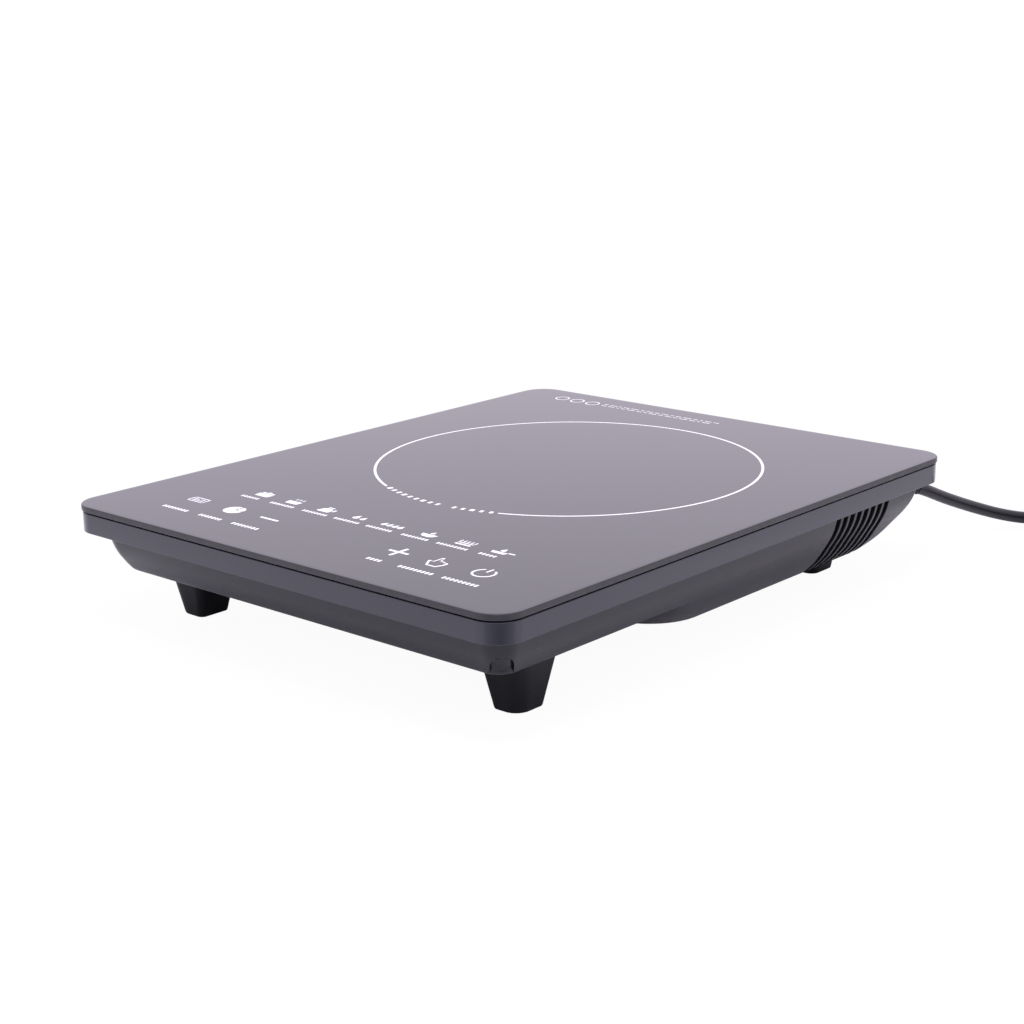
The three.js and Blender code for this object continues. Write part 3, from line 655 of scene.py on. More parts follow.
def make_tie():
    """Flat strap tie round the wound lead, with its buckle."""
    cx, cy = HANK
    ang = math.radians(205)
    ux, uy = math.cos(ang), math.sin(ang)
    tx, ty = -uy, ux
    rin, rout = R3[2] - D / 2 - 0.25, R3[0] + D / 2 + 0.25
    z0, z1 = 0.12, Z_HIGH + D / 2 + 0.12
    th = 0.7

    def loop(inset, w):
        a, b, lo, hi = rin - inset, rout + inset, z0 - min(inset, 0.0), z1 + inset
        out = []
        for (cr, cz, a0) in ((b - 3, lo + 3, -90), (b - 3, hi - 3, 0), (a + 3, hi - 3, 90), (a + 3, lo + 3, 180)):
            for i in range(9):
                t = math.radians(a0 + 90 * i / 8)
                r, z = cr + 3 * math.cos(t), cz + 3 * math.sin(t)
                out.append((cx + ux * r + tx * w, cy + uy * r + ty * w, max(z, 0.05)))
        return out
    rings = [loop(0.0, -2.6), loop(th * 0.8, -2.6), loop(th, -2.4), loop(th, 2.4), loop(th * 0.8, 2.6), loop(0.0, 2.6)]
    n = len(rings[0])
    V = [p for r in rings for p in r]
    F = []
    for k in range(len(rings)):
        a, b = k * n, ((k + 1) % len(rings)) * n
        F += [(a + i, a + (i + 1) % n, b + (i + 1) % n, b + i) for i in range(n)]
    rb = (rin + rout) / 2
    parts = [(V, F)]
    hx, hy, hz = 4.0, 3.6, 1.5
    ring = lambda z, g: [(cx + ux * (rb + p[0]) + tx * p[1], cy + uy * (rb + p[0]) + ty * p[1], z)
                         for p in rrect(-hx + g, hx - g, -hy + g, hy - g, 1.0, 0, 5)]
    zb = z1 + 0.45
    parts.append(loft([ring(zb, 0.5), ring(zb + 0.3, 0.05), ring(zb + hz - 0.4, 0.0), ring(zb + hz, 0.45)]))
    o = mesh_obj("lead_tie", *merge(parts), sharp=40)
    o.data.materials.append(PAINT["seal_black"])
    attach(o, "cooktop")
    return o


tie = make_tie()


def place_plug(part):
    """Local +Z runs from the lead to the pins."""
    a = math.pi / 2 - TILT
    c, s = math.cos(a), math.sin(a)
    out = []
    for x, y, z in part[0]:
        out.append((PLUG_REAR[0] + x, PLUG_REAR[1] + y * c - z * s, PLUG_REAR[2] + y * s + z * c))
    return out, part[1]


def make_plug():
    seg = 72
    prof = [(0, 0), (3.9, 0)]
    z, r = 0.4, 4.35
    prof.append((r, z))
    while z < 14.5:                                   # ribs of the plug's own sleeve
        prof += [(r + 0.05, z + 1.5), (r - 0.55, z + 1.8), (r - 0.5, z + 2.4), (r + 0.22, z + 2.7)]
        z += 2.7
        r += 0.2
    prof += [(5.9, 18.2), (6.3, 19.8), (8.4, 21.3), (11.2, 22.8), (13.2, 25.0), (14.8, 28.2), (15.4, 31.5), (15.6, 36),
             (15.9, 43.0), (16.3, 44.6), (17.6, 46.6), (18.2, 48.2), (18.45, 50), (18.6, 53), (18.6, 59.6), (18.35, 60.5), (17.7, 61), (17.3, 61), (0, 61)]
    V, F = lathe(prof, 0, 0, seg)
    # grip flats with shallow grooves on the two broad sides, earth channels above and below
    out = []
    for x, y, zz in V:
        rr = math.hypot(x, y)
        if 24 < zz < 44 and rr > 9:
            a = abs(x) / rr
            flat = max(0.0, a - 0.72) / 0.28
            bell = math.sin(math.pi * (zz - 24) / 20)
            k = 1 - 0.10 * flat * bell
            x, y = x * k, y * k
        out.append((x, y, zz))
    body = mesh_obj("plug_shell", *place_plug((out, F)), sharp=38)
    # earth channels: cut along the shell's top and bottom
    for s in (-1, 1):
        g = boxm(-2.6, 2.6, min(s * 16.6, s * 22), max(s * 16.6, s * 22), 47.2, 64)
        boolean(body, mesh_obj("cut", *place_plug(g)), "DIFFERENCE")
    shade(body, 38)
    finish_piece(body, "plug_body")
    pieces = [body]
    for k, dx in enumerate((-9.5, 9.5)):
        p = [(0, 61.05), (2.0, 61.05), (2.0, 66.5), (2.4, 66.7)]
        p = [(0, 61.02), (2.35, 61.02), (2.35, 77.6), (2.25, 78.4), (2.0, 79.1), (1.6, 79.6), (1.0, 79.9), (0, 80)]
        o = mesh_obj("pin_%d" % (k + 1), *place_plug(lathe(p, dx, 0, 32)), sharp=40)
        pieces.append(finish_piece(o, "plug_pin_%d" % (k + 1)))
    for k, s in enumerate((-1, 1)):                   # spring earth strips in the channels
        rows = [(47.4, 16.75), (50, 17.5), (54, 18.0), (58, 17.7), (60.8, 16.8)]
        top = catmull([(z, y) for z, y in rows], 5)
        rings = []
        for z, y in top:
            rings.append([(-2.1, s * (y - 0.5), z), (2.1, s * (y - 0.5), z), (2.1, s * (y + 0.1), z), (1.7, s * (y + 0.3), z), (-1.7, s * (y + 0.3), z), (-2.1, s * (y + 0.1), z)])
        o = mesh_obj("earth_strip_%d" % (k + 1), *place_plug(loft(rings)), sharp=40)
        o.data.materials.append(PAINT["pin_nickel"])
        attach(o, "cooktop")
        pieces.append(o)
    return pieces


plug = make_plug()

# ------------------------------------------------------------------ glass plate
PW, PD, PR, TOP = 280.6, 352.0, 14.5, 60.0


def plate_row(inset, z):
    return [PW / 2 - inset, -PD / 2 + inset, PD / 2 - inset, PR - inset, PR - inset, z]


def make_glass():
    rows = [plate_row(3.0, 57.0), plate_row(0.0, 57.0), plate_row(0.0, 60.0), plate_row(3.0, 60.0)]
    rows = soften(rows, [0, 0.75, 0.6, 0], 7)
    rows = [plate_row(3.2, 57.0)] + [list(r) for r in rows] + [plate_row(3.2, 60.0)]
    o = mesh_obj("glass_top", *loft([ring_row(r, 28) for r in rows]), sharp=50)
    finish_piece(o, "glass_plate")
    o.data.materials.append(ground_glass())
    for f in o.data.polygons:
        if abs(f.normal.z) < 0.75:
            f.material_index = 1
    return o


make_glass()


def make_seal():
    spec = [(2.6, 56.55, 11.9), (2.6, 56.85, 11.9), (9.5, 56.85, 8), (9.5, 56.55, 8)]
    rings = [ring_row([PW / 2 - i, -PD / 2 + i, PD / 2 - i, r, r, z], 18) for i, z, r in spec]
    o = mesh_obj("seal_strip", *loft(rings, loop=True), sharp=40)
    return finish_piece(o, "glass_seal")


make_seal()

# ------------------------------------------------------------------ printing on the glass
PZ0, PZ1 = 59.985, 60.035


def slab(poly, z0=PZ0, z1=PZ1):
    return loft([[(x, y, z0) for x, y in poly], [(x, y, z1) for x, y in poly]])


def arc_strip(cx, cy, r, w, a0, a1, n=64):
    """Strip along an arc; angles in degrees, anticlockwise."""
    outer = [(cx + (r + w / 2) * math.cos(math.radians(a0 + (a1 - a0) * i / n)), cy + (r + w / 2) * math.sin(math.radians(a0 + (a1 - a0) * i / n))) for i in range(n + 1)]
    inner = [(cx + (r - w / 2) * math.cos(math.radians(a0 + (a1 - a0) * i / n)), cy + (r - w / 2) * math.sin(math.radians(a0 + (a1 - a0) * i / n))) for i in range(n + 1)]
    V, F = [], []
    for z in (PZ0, PZ1):
        V += [(x, y, z) for x, y in outer] + [(x, y, z) for x, y in inner]
    m = n + 1
    for i in range(n):
        F.append((i, i + 1, m + i + 1, m + i))                                    # bottom
        F.append((2 * m + i, 3 * m + i, 3 * m + i + 1, 2 * m + i + 1))            # top
        F.append((i, 2 * m + i, 2 * m + i + 1, i + 1))                            # outer side
        F.append((m + i, m + i + 1, 3 * m + i + 1, 3 * m + i))                    # inner side
    F.append((0, m, 3 * m, 2 * m))
    F.append((n, 2 * m + n, 3 * m + n, m + n))
    return V, F


def bar2(x, y, w, h, r=0.35):
    return slab([(p[0] + x, p[1] + y) for p in rrect(-w / 2, w / 2, -h / 2, h / 2, min(r, w / 2.01, h / 2.01), 0, 4)])


def disc(x, y, r, n=28):
    return slab([(x + r * math.cos(2 * math.pi * i / n), y + r * math.sin(2 * math.pi * i / n)) for i in range(n)])


def ringp(x, y, r, w, n=40):
    V, F = [], []
    for z in (PZ0, PZ1):
        for q in (r + w / 2, r - w / 2):
            V += [(x + q * math.cos(2 * math.pi * i / n), y + q * math.sin(2 * math.pi * i / n), z) for i in range(n)]
    for i in range(n):
        j = (i + 1) % n
        F += [(i, j, n + j, n + i), (2 * n + i, 3 * n + i, 3 * n + j, 2 * n + j), (i, 2 * n + i, 2 * n + j, j), (n + i, n + j, 3 * n + j, 3 * n + i)]
    return V, F


def poly(x, y, pts, s=1.0):
    return slab([(x + s * px, y + s * py) for px, py in pts])


def dashes(x, y, widths, gap=0.9, h=1.25):
    total = sum(widths) + gap * (len(widths) - 1)
    out, u = [], x - total / 2
    for w in widths:
        out.append(bar2(u + w / 2, y, w, h, 0.45))
        u += w + gap
    return out


def label(x, y, width, h=2.3, unit=1.5, gap=0.8):
    """A plain row of even blocks in place of a caption."""
    n = max(2, round((width + gap) / (unit + gap)))
    return dashes(x, y, [unit] * n, gap, h)


def grow(parts, cx, cy, k, dx=0.0, dy=0.0):
    return [([(cx + dx + (px - cx) * k, cy + dy + (py - cy) * k, pz) for px, py, pz in v], f) for v, f in parts]


FLAME = [(0, -2.6), (1.2, -2.3), (1.8, -1.3), (1.6, -0.2), (0.9, 0.9), (0.6, 2.6), (-0.3, 1.6), (-0.9, 0.6), (-1.6, -0.4), (-1.8, -1.4), (-1.2, -2.3)]
POT = [(-3.0, -2.2), (3.0, -2.2), (3.3, -1.8), (3.6, 1.2), (-3.6, 1.2), (-3.3, -1.8)]


def make_prints():
    P = []
    # cooking zone ring, open at the front; plain dashes fill the opening
    cx, cy, r = 0.0, 34.3, 99.8
    a0, a1 = -69.6, 360 - 115.2
    P.append(arc_strip(cx, cy, r, 1.35, a0, a1, 220))
    n = 15
    for i in range(n):
        a = -112.6 + (112.6 - 71.6) * i / (n - 1)
        if i == 9:
            continue
        rr = r - 0.2
        w = 1.9 if i % 3 else 2.5
        da = math.degrees(w / rr)
        P.append(arc_strip(cx, cy, rr, 3.0, a - da / 2, a + da / 2, 6))
    # touch keys
    x, y = -94.7, -132.6
    P += grow([bar2(x, y + 2.2, 9.0, 0.6), bar2(x, y - 2.2, 9.0, 0.6), bar2(x - 4.2, y, 0.6, 4.6), bar2(x + 4.2, y, 0.6, 4.6),
               bar2(x - 1.8, y + 0.6, 2.9, 0.6), bar2(x + 1.9, y + 0.6, 2.5, 0.6), bar2(x, y - 0.8, 6.2, 0.6)], x, y, 1.27)
    x, y = -67.1, -134.0
    pie = [(x, y)] + [(x + 5.5 * math.cos(math.radians(90 + 272 * i / 40)), y + 5.5 * math.sin(math.radians(90 + 272 * i / 40))) for i in range(41)]
    P.append(slab(pie))
    P.append(slab([(x + 0.9, y + 0.8)] + [(x + 0.9 + 4.5 * math.cos(math.radians(86 * i / 14)), y + 0.8 + 4.5 * math.sin(math.radians(86 * i / 14))) for i in range(15)]))
    P.append(bar2(-41.9, -134.3, 12.2, 1.7))
    P.append(bar2(43.7, -134.8, 11.8, 1.7))
    P += [bar2(43.7, -134.8 + 3.4, 1.7, 5.1), bar2(43.7, -134.8 - 3.4, 1.7, 5.1)]
    x, y = 67.6, -135.0                                   # pointing hand
    hand = [(-1.2, -4.6), (3.0, -4.6), (4.2, -1.8), (4.2, 0.4), (3.4, 0.9), (2.6, 0.4), (2.3, 1.3), (1.4, 1.3), (1.0, 0.7), (0.8, 1.8), (0.0, 2.0),
            (-0.4, 1.4), (-0.5, 4.0), (-1.1, 4.6), (-1.8, 4.0), (-1.8, -0.6), (-3.0, 0.3), (-3.8, -0.1), (-3.4, -1.2)]
    inner = [(p[0] * 0.78 + 0.12, p[1] * 0.80 - 0.22) for p in hand]
    nh = len(hand)
    V, F = [], []
    for z in (PZ0, PZ1):
        V += [(x + a, y + b, z) for a, b in hand] + [(x + a, y + b, z) for a, b in inner]
    for i in range(nh):
        j = (i + 1) % nh
        F += [(i, j, nh + j, nh + i), (2 * nh + i, 3 * nh + i, 3 * nh + j, 2 * nh + j), (i, 2 * nh + i, 2 * nh + j, j), (nh + i, nh + j, 3 * nh + j, 3 * nh + i)]
    P += grow([(V, F)], x, y, 1.36)
    x, y = 94.0, -134.4                                   # on/off
    P.append(arc_strip(x, y, 5.2, 1.05, 122, 418, 48))
    P.append(bar2(x, y + 3.9, 1.05, 5.0))
    for x, w in ((-91.7, 18.5), (-66.3, 15.8), (-41.6, 16.8), (43.2, 8.0), (68.3, 21.0), (94.3, 19.6)):
        P += label(x, -149.7, w, 2.7)
    # cooking programmes
    X = (-77, -55.2, -32.7, -8.5, 10.6, 34.4, 57.5, 78.4)
    y = -105.8
    P += grow([poly(X[0], y, POT), bar2(X[0], y + 2.1, 6.4, 0.8), bar2(X[0], y + 3.0, 1.6, 0.8)], X[0], y, 1.33)
    P += grow([poly(X[1], y - 0.4, POT, 0.95), bar2(X[1] - 1.6, y + 2.8, 0.6, 1.8), bar2(X[1] + 0.2, y + 2.8, 0.6, 1.8), bar2(X[1] + 2.0, y + 2.8, 0.6, 1.8)], X[1], y, 1.28)
    P += grow([poly(X[2], y, [(-2.6, -2.6), (2.6, -2.6), (3.0, -2.0), (2.2, 0.8), (1.2, 1.6), (-1.2, 1.6), (-2.2, 0.8), (-3.0, -2.0)]), bar2(X[2], y + 2.5, 3.2, 0.7), bar2(X[2] + 3.6, y + 0.1, 1.0, 2.2)], X[2], y, 1.36)
    P += grow([poly(X[3] - 1.8, y, FLAME, 0.8), poly(X[3] + 1.9, y - 0.4, FLAME, 0.65)], X[3], y, 1.28, -1.2)
    P += grow([poly(X[4] + k * 2.9, y - 0.2, FLAME, 0.7) for k in (-1.5, -0.5, 0.5, 1.5)], X[4], y, 1.2, 1.1)
    P += grow([poly(X[5], y - 0.8, [(-4.0, 0.9), (-3.0, -1.4), (-1.6, -2.2), (1.6, -2.2), (3.0, -1.4), (4.0, 0.9)]), poly(X[5], y + 2.0, FLAME, 0.55)], X[5], y, 1.2, 0.9)
    P += grow([bar2(X[6], y - 1.9, 7.2, 1.1), bar2(X[6], y - 0.2, 7.2, 0.7)] + [bar2(X[6] + k * 1.7, y + 1.4, 0.6, 2.0) for k in (-2, -1, 0, 1, 2)], X[6], y, 1.3)
    P += grow([poly(X[7], y - 1.2, [(-3.6, 0.8), (-2.8, -1.2), (2.8, -1.2), (3.6, 0.8)]), bar2(X[7] + 5.0, y - 0.2, 3.0, 0.9), poly(X[7], y + 1.8, FLAME, 0.6)], X[7], y, 1.28)
    for x, dx, w in zip(X, (-2.2, -1.0, -0.7, -3.2, -0.9, -1.8, -1.8, -1.4), (12.3, 15.8, 15.4, 16.8, 16.8, 16.8, 18.2, 9.0)):
        P += label(x + dx, y - 7.6, w, 2.4, 1.35, 0.75)
    # small marks along the rear left edge: three open circles and two rows of plain dashes
    for x, yy in ((-107.5, 158.0), (-96.0, 158.0), (-84.5, 158.0)):
        P.append(ringp(x, yy, 4.0, 0.75))
    rng = [3.0, 5.2, 2.2, 4.2, 6.0, 2.6, 4.8, 3.4, 5.4, 2.4, 4.0, 5.8, 3.2, 2.2, 4.6, 3.8]
    P += dashes(-36.0, 160.4, rng, 1.3, 0.8)
    P += dashes(-38.0, 157.0, rng[::-1][:15], 1.3, 0.8)
    o = mesh_obj("glass_print", *merge(P), sharp=30)
    o.data.materials.append(enamel())
    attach(o, "cooktop")
    return o


make_prints()

# ------------------------------------------------------------------ upper frame
CORNERS = ((-115, -151, 1), (115, -151, 1), (-104, 146, 0), (104, 146, 0))
TW, TD = 280.0, 350.0


def tub_row(inset, z, rf, rr):
    return [TW / 2 - inset, -TD / 2 + inset, TD / 2 - inset, rf, rr, z]


def make_frame():
    rows = [plate_row(0.5, 56.4), plate_row(0.5, 46.7), tub_row(8.4, 46.7, 12.3, 6.0), tub_row(8.4, 48.9, 12.3, 6.0), tub_row(3.6, 48.9, 10.9, 10.9),
            tub_row(3.6, 54.2, 10.9, 10.9), tub_row(12.5, 54.2, 9, 9), tub_row(12.5, 56.4, 9, 9)]
    rows = soften(rows, [0.5, 0.3, 0.3, 0, 0.5, 0.5, 0, 0.3], 5, loop=True)
    o = mesh_obj("rim_frame", *loft([ring_row(r, 24) for r in rows], loop=True), sharp=40)
    gus, post, hole = [], [], []
    for x, y, front in CORNERS:
        sx, sy = (1 if x > 0 else -1), (1 if y > 0 else -1)
        gx = (108, 129) if front else (97, 129)
        gy = (144, 164) if front else (139, 164)
        gus.append(boxm(min(sx * gx[0], sx * gx[1]), max(sx * gx[0], sx * gx[1]), min(sy * gy[0], sy * gy[1]), max(sy * gy[0], sy * gy[1]), 54.25, 56.05))
        post.append(cyl(x, y, 37.2, 55.4, 3.4, 32, 4.0))
        hole.append(cyl(x, y, 36, 51, 1.65, 24))
    boolean(o, mesh_obj("u", *merge(gus)), "UNION")
    boolean(o, mesh_obj("u", *merge(post)), "UNION")
    boolean(o, mesh_obj("u", *merge(hole)), "DIFFERENCE")
    shade(o, 40)
    return finish_piece(o, "upper_frame")


make_frame()

# ------------------------------------------------------------------ lower housing
# [inset, z, rear radius, deep front y, deep front radius]
MASTER = [[8.7, 46, 5, -58.5, 24], [9.4, 41.6, 5, -58.5, 24], [10.9, 36.1, 5.5, -58, 24], [13.2, 31.1, 7, -57, 24], [15.9, 26.6, 9, -52.5, 25],
          [20.7, 19.2, 11.5, -45, 26], [25, 14.4, 13, -39, 27], [29.5, 10.6, 14, -33, 28], [34, 8.9, 15, -29, 28], [41, 8.3, 16, -20.5, 28]]
WALL = 2.2
SHELF = 25.55


def offset_rows(rows, t):
    """Moves a path of [inset, z, ...] rows inwards by t, square to itself."""
    out = []
    for k, q in enumerate(rows):
        a, b = rows[max(k - 1, 0)], rows[min(k + 1, len(rows) - 1)]
        du, dz = b[0] - a[0], b[1] - a[1]
        n = math.hypot(du, dz)
        q = np.array(q, float).copy()
        q[0] += -t * dz / n
        q[1] += t * du / n
        out.append(q)
    return out


def shelf_rows(rows, shelf_z, cut_z, run):
    """The part of the wall above the shallow floor, ended by a rounded edge into that floor."""
    top = [r for r in rows if r[1] > cut_z]
    p = top[-1]
    d = (top[-1] - top[-2]) / max(1e-6, abs(top[-1][1] - top[-2][1]))
    v = p + d * (p[1] - shelf_z)
    q = v.copy()
    q[0] += run
    v[1] = q[1] = shelf_z
    out = list(top)
    for i in range(1, 9):
        t = i / 8
        out.append((1 - t) ** 2 * p + 2 * t * (1 - t) * v + t * t * q)
    e = q.copy()
    e[0] += 1.0
    out.append(e)
    return out


def shallow_ring(r, seg=20, shrink=0.0):
    """Ring of the shallow part: the front wall leans in further and the front corners tighten downwards."""
    t = min(1.0, max(0.0, (46.0 - r[1]) / (46.0 - SHELF)))
    rf = 12.0 - 3.2 * t - shrink
    return ring_row([TW / 2 - r[0], -TD / 2 + r[0] + 1.5 * t, TD / 2 - r[0], rf, max(4.0, r[2] - shrink), r[1]], seg)


def make_tub():
    master = catmull(MASTER, 5)
    head = [np.array([8.7, 53.2, 5, -58.5, 24.0]), np.array([8.7, 52.9, 5, -58.5, 24.0])]
    wall = head + master
    to_deep = lambda r, g=0.03: ring_row([TW / 2 - r[0] + g, r[3] - g, TD / 2 - r[0] + g, r[4] + g, r[2] + g, r[1]], 20)
    shallow = shelf_rows(wall, SHELF, 27.4, 1.8)
    o = mesh_obj("housing", *loft([shallow_ring(r) for r in shallow]))
    low = [r for r in master if r[1] <= 31.2]
    first = np.array(low[0], float)
    d1, d2 = first.copy(), first.copy()
    d1[0] += 0.35; d1[1] += 0.9
    d2[0] += 2.2; d2[1] += 1.8; d2[3] += 2
    end = low[-1].copy(); end[0] += 2; end[3] += 2
    boolean(o, mesh_obj("u", *loft([to_deep(d2), to_deep(d1)] + [to_deep(r) for r in low] + [to_deep(end)])), "UNION")

    # cavity
    inner = offset_rows(master, WALL)
    ins = [np.array([8.7 + WALL, 56, 5, -55.5, 22.0])] + inner
    ins_top = shelf_rows(ins, SHELF + WALL, 30.0, 2.0)
    sh = lambda r: shallow_ring(r, 12, 2.0)
    dp = lambda r, g=0.03: ring_row([TW / 2 - r[0] + g, r[3] + 3 - g, TD / 2 - r[0] + g, r[4] - 2 + g, max(4.0, r[2] - 2) + g, r[1]], 12)
    cav = mesh_obj("cav", *loft([sh(r) for r in ins_top]))
    low = [r for r in inner if r[1] <= 33.0 and r[1] > 8.3 + WALL - 0.02]
    first = np.array(low[0], float)
    d1, d2 = first.copy(), first.copy()
    d1[0] += 0.35; d1[1] += 0.9
    d2[0] += 2.2; d2[1] += 1.8; d2[3] += 2
    end = low[-1].copy(); end[0] += 3; end[1] = 8.3 + WALL
    boolean(cav, mesh_obj("u", *loft([dp(d2), dp(d1)] + [dp(r) for r in low] + [dp(end)])), "UNION")
    outer = o.data.copy()
    boolean(o, cav, "DIFFERENCE")

    # posts, kept inside the outer shape
    posts = [(x, y, 9.5 if f else 7.2, SHELF + 0.3 if f else 8.6, 36.9) for x, y, f in CORNERS]
    posts += [(x, y, 4, 9, 40.7) for x, y in ((91, 1.3), (-91, 1.3), (-17, 130))]
    posts += [(x, y, 3.4, 9, 13.7) for x, y in ((-6, -16), (80, -16), (80, 120), (-6, 120))]
    posts += [(x, y, 3.6, 9, 12.7) for x, y in ((-95.5, 36.5), (-24.5, 36.5), (-95.5, 107.5), (-24.5, 107.5))]
    posts += [(x, y, 3.4, SHELF + 0.4, 46.2) for x, y in ((-100, -112), (100, -112), (-100, -152), (100, -152))]
    pm = mesh_obj("posts", *merge([cyl(x, y, z0, z1, r, 28) for x, y, r, z0, z1 in posts]))
    lim = link(bpy.data.objects.new("lim", outer))
    boolean(pm, lim, "INTERSECT")
    boolean(o, pm, "UNION")

    cut = []
    for x, y, f in CORNERS:
        cut.append(cyl(x, y, 0, 34.6, 4.8, 36))
    arches = []
    for s in (-1, 1):                                    # arched recess in each front corner, its floor parallel to the outside
        n = 32
        a, lo, mid = 5.05, 26.6, 31.5
        out = [(-a, lo), (a, lo)] + [(a * math.cos(math.pi * i / n), mid + a * math.sin(math.pi * i / n)) for i in range(n + 1)]
        near = [(x, -5.0, z) for x, z in out]
        far = [(x, -21.2, z) for x, z in out]
        arches.append(shift(rotz(loft([near, far]), s * 45), s * 115.1, -148.3))
    arch = mesh_obj("arch", *merge(arches))
    sel = [r for r in wall if 22.0 < r[1] < 50]
    full, core = offset_rows(sel, 1.55), []
    for r, q in zip(sel, full):                           # the recess runs out into the wall at its crown
        t = step(r[1], 33.4, 36.9, 1.0, 0.12) * step(r[1], 26.9, 29.6, 0.15, 1.0)
        core.append(np.array(r) + (q - np.array(r)) * t)
    boolean(arch, mesh_obj("core", *loft([shallow_ring(r, 20, 1.0) for r in core])), "DIFFERENCE")
    boolean(o, arch, "DIFFERENCE")
    for x, y in ((91, 1.3), (-91, 1.3), (-17, 130)):
        cut.append(cyl(x, y, 28, 44, 1.55, 20))
    for x, y in ((80, -16), (-6, 120), (-95.5, 36.5), (-24.5, 107.5)):
        cut.append(cyl(x, y, 9.6, 20, 1.3, 16))
    for k in range(-4, 5):                               # fan inlet slots with round ends
        y = 72 + k * 7.6
        half = math.sqrt(35 * 35 - (k * 7.6) ** 2)
        ring = rrect(-60 - half, -60 + half, y - 2, y + 2, 1.98, 0, 8)
        cut.append(loft([[(p[0], p[1], 5) for p in ring], [(p[0], p[1], 11.5) for p in ring]]))
    h = cyl(0, 0, -7, 7, 5.3, 36)                         # lead entry
    h = ([(115 + x, 161.9 - z, 40 + y) for x, y, z in h[0]], h[1])
    cut.append(h)
    for k in range(8):                                   # outlet slots
        y0 = 85.5 + k * 6.45
        for s in (-1, 1):
            cut.append(boxm(102 if s > 0 else -150, 150 if s > 0 else -102, y0, y0 + 4.2, 10.4, 44.6))
    boolean(o, mesh_obj("cut", *merge(cut)), "DIFFERENCE")
    boolean(o, mesh_obj("cut", *merge([cyl(x, y, 30, 40, 1.75, 20) for x, y, f in CORNERS])), "DIFFERENCE")

    # chamfered slot mouths that follow the wall
    line = [r for r in master if 11.0 < r[1] < 45.2]
    ch = []
    for k in range(8):
        yc = 85.5 + k * 6.45 + 2.1
        for s in (-1, 1):
            rings = []
            for i, r in enumerate(line):
                a, b = line[max(i - 1, 0)], line[min(i + 1, len(line) - 1)]
                du, dz = b[0] - a[0], b[1] - a[1]
                n = math.hypot(du, dz)
                nx, nz = -dz / n, du / n                     # outwards is -inset
                px, pz = TW / 2 - r[0] + 0.03, r[1]
                ox, oz = nx, -nz * -1 * -1
                ox, oz = (-dz / n), (-du / n)
                q = []
                for w, hgt in ((-2.1, -0.28), (2.1, -0.28), (2.68, 0.3), (-2.68, 0.3)):
                    q.append((s * (px + ox * hgt), yc + w, pz + oz * hgt))
                rings.append(q)
            ch.append(loft(rings))
    boolean(o, mesh_obj("cut", *merge(ch)), "DIFFERENCE")
    shade(o, 32)
    finish_piece(o, "lower_housing")
    # inner faces are left unpolished and take a darker base colour as painted shade
    o.data.materials.append(inner_matte_painted_shade())
    probe = [(r[1], r[0]) for r in wall]
    zs = np.array([q[0] for q in probe])[::-1]
    iv = np.array([q[1] for q in probe])[::-1]
    for f in o.data.polygons:
        c = f.center / MM
        inset = min(TW / 2 - abs(c.x), TD / 2 - abs(c.y))
        lim = float(np.interp(c.z, zs, iv))
        inside = inset > lim + 1.2 and f.normal.z > -0.35 and c.z < 53
        if c.z > 12 and c.z < 26 and c.y < -20:
            inside = False
        if inside and not (c.z > 26 and abs(c.x) > 100 and c.y < -135):
            f.material_index = 1
    return o


tub = make_tub()


# ------------------------------------------------------------------ feet
def make_foot(name, x0, x1, y0, y1, h, draft):
    left = x0 < 0
    big = 4.0 if "front" in name else 1.5

    def ring(g, z, r):
        return rrect(x0 - g, x1 + g, y0 - g, y1 + g, (r + (0 if left else big), r, r, r + (big if left else 0)), z, 14)
    rows = [ring(-0.55, 0.0, 2.9), ring(-0.25, 0.07, 3.1), ring(-0.08, 0.22, 3.2), ring(0.02, 0.45, 3.3), ring(draft * 0.8, 0.8, 3.4)]
    n = 6
    for i in range(1, n + 1):
        z = 0.8 + (h - 0.8) * i / n
        rows.append(ring(draft * z, z, 3.4 + 1.7 * i / n))
    rows = [ring(-2.2, 0.0, 2.2)] + rows
    o = mesh_obj(name.replace("foot", "leg"), *loft(rows), sharp=45)
    return finish_piece(o, name)


for s, side in ((-1, "left"), (1, "right")):
    fx = (94.6, 111.8) if s < 0 else (97.4, 112.8)
    rx = (84.5, 98.6)
    make_foot("foot_front_" + side, min(s * fx[0], s * fx[1]), max(s * fx[0], s * fx[1]), -135.0, -116.8, SHELF - 0.03, 0.2)
    make_foot("foot_rear_" + side, min(s * rx[0], s * rx[1]), max(s * rx[0], s * rx[1]), 115.7, 134.5, 8.27, 0.2)

# ------------------------------------------------------------------ carried-over CAD pieces: materials and eased edges
for name, o in NODES.items():
    if o.hide_render:
        continue
    o.data.materials.clear()
    o.data.materials.append(PAINT[SLOT_OF[name]])
    if not name.endswith(tuple("0123456789")) or name.startswith("ferrite"):
        bv = o.modifiers.new("ease", "BEVEL")
        bv.width = 0.0003
        bv.segments = 2
        bv.limit_method = "ANGLE"
        bv.angle_limit = math.radians(40)
        bv.harden_normals = False


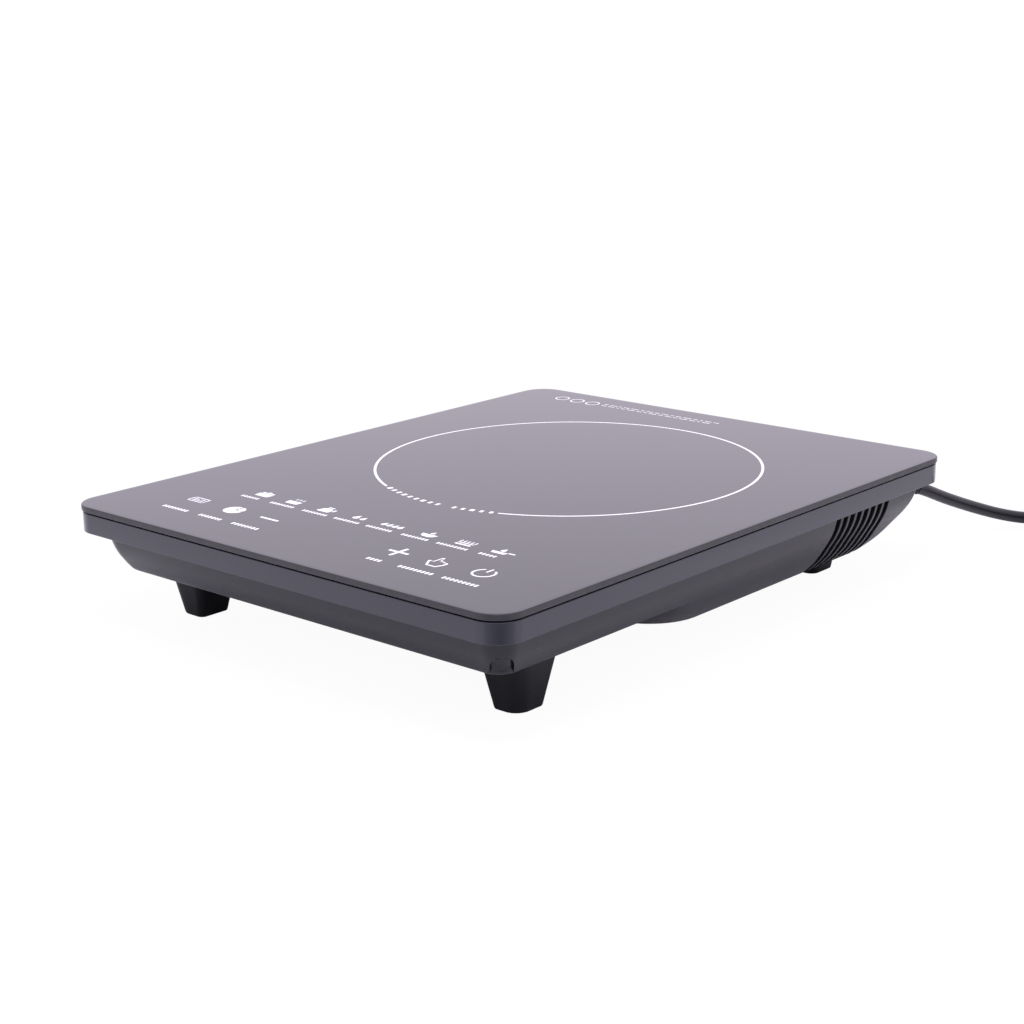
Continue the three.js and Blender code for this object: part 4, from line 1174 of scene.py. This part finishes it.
# ------------------------------------------------------------------ floor, light
def make_stage():
    me = bpy.data.meshes.new("floor")
    s = 9.0
    me.from_pydata([(-s, -s, -0.0004), (s, -s, -0.0004), (s, s, -0.0004), (-s, s, -0.0004)], [], [(0, 1, 2, 3)])
    floor = link(bpy.data.objects.new("floor", me))
    k = Mat("floor_white")
    k.to("Base Color", k.ramp(k.noise(3, 3, 0.5), [(0.3, (0.90, 0.90, 0.90)), (0.7, (0.92, 0.92, 0.92))]))
    k.set(Roughness=0.9, IOR=1.2)
    # seen directly the sweep is close to shadowless white; as a reflector it is a plain matt surface
    t = k.t
    glow = t.nodes.new("ShaderNodeEmission")
    glow.inputs["Color"].default_value = (1, 1, 1, 1)
    glow.inputs["Strength"].default_value = 1.0
    soft = t.nodes.new("ShaderNodeMixShader")
    soft.inputs["Fac"].default_value = 0.045
    t.links.new(glow.outputs[0], soft.inputs[1])
    t.links.new(k.b.outputs[0], soft.inputs[2])
    path = t.nodes.new("ShaderNodeLightPath")
    pick = t.nodes.new("ShaderNodeMixShader")
    t.links.new(path.outputs["Is Camera Ray"], pick.inputs["Fac"])
    t.links.new(k.b.outputs[0], pick.inputs[1])
    t.links.new(soft.outputs[0], pick.inputs[2])
    out = [n for n in t.nodes if n.type == "OUTPUT_MATERIAL"][0]
    t.links.new(pick.outputs[0], out.inputs["Surface"])
    me.materials.append(k.m)

    w = bpy.data.worlds.new("studio")
    bpy.context.scene.world = w
    w.use_nodes = True
    bg = w.node_tree.nodes["Background"]
    bg.inputs["Color"].default_value = (1.0, 0.935, 1.09, 1)
    bg.inputs["Strength"].default_value = 1.25

    def area(name, loc, target, size, energy, color=(1, 1, 1)):
        d = bpy.data.lights.new(name, "AREA")
        d.shape = "RECTANGLE"
        d.size, d.size_y = size
        d.energy = energy
        d.color = color
        o = link(bpy.data.objects.new(name, d))
        o.location = loc
        o.rotation_euler = (Vector(target) - Vector(loc)).to_track_quat("-Z", "Y").to_euler()
    def card(name, corners, color, strength):
        """Studio card that is met by reflections only."""
        cm = bpy.data.meshes.new(name)
        cm.from_pydata(corners, [], [(0, 1, 2, 3)])
        c = link(bpy.data.objects.new(name, cm))
        q = bpy.data.materials.new(name)
        q.use_nodes = True
        b = q.node_tree.nodes["Principled BSDF"]
        b.inputs["Base Color"].default_value = (0, 0, 0, 1)
        b.inputs["Roughness"].default_value = 1.0
        b.inputs["Specular IOR Level"].default_value = 0.0
        b.inputs["Emission Color"].default_value = (*color, 1)
        b.inputs["Emission Strength"].default_value = strength
        cm.materials.append(q)
        c.visible_camera = c.visible_diffuse = c.visible_shadow = c.visible_transmission = False
    card("card_rear_1", [(0.160, 0.2175, 0.0), (0.226, 0.150, 0.0), (0.226, 0.150, 0.10), (0.160, 0.2175, 0.10)], (1.0, 0.96, 1.08), 1.28)
    card("card_rear_2", [(0.226, 0.150, 0.0), (0.34, 0.146, 0.0), (0.34, 0.146, 0.10), (0.226, 0.150, 0.10)], (1.0, 0.96, 1.08), 1.28)
    shade_steps = (0.98, 0.82, 0.64, 0.48, 0.40, 0.40, 0.48, 0.64, 0.82, 0.98)
    for k, v in enumerate(shade_steps):                  # fan of darker cards in front of the near corner
        a0, a1 = (math.radians(-92 + 10 * (k + e)) for e in (0, 1))
        near, far = 0.085, 0.55
        card("card_corner_%d" % k, [(0.125 + near * math.cos(a0), -0.162 + near * math.sin(a0), 0.0005), (0.125 + far * math.cos(a0), -0.162 + far * math.sin(a0), 0.0005),
                                    (0.125 + far * math.cos(a1), -0.162 + far * math.sin(a1), 0.0005), (0.125 + near * math.cos(a1), -0.162 + near * math.sin(a1), 0.0005)],
             (1.0, 0.97, 1.06), v)
    area("softbox_top", (0.1, -0.1, 1.7), (0, 0, 0), (1.6, 1.6), 3)
    area("glint", (0.55, -0.62, 2.1), (0.135, -0.17, 0.05), (0.45, 0.45), 14)


make_stage()
bpy.context.scene.view_settings.view_transform = "Standard"
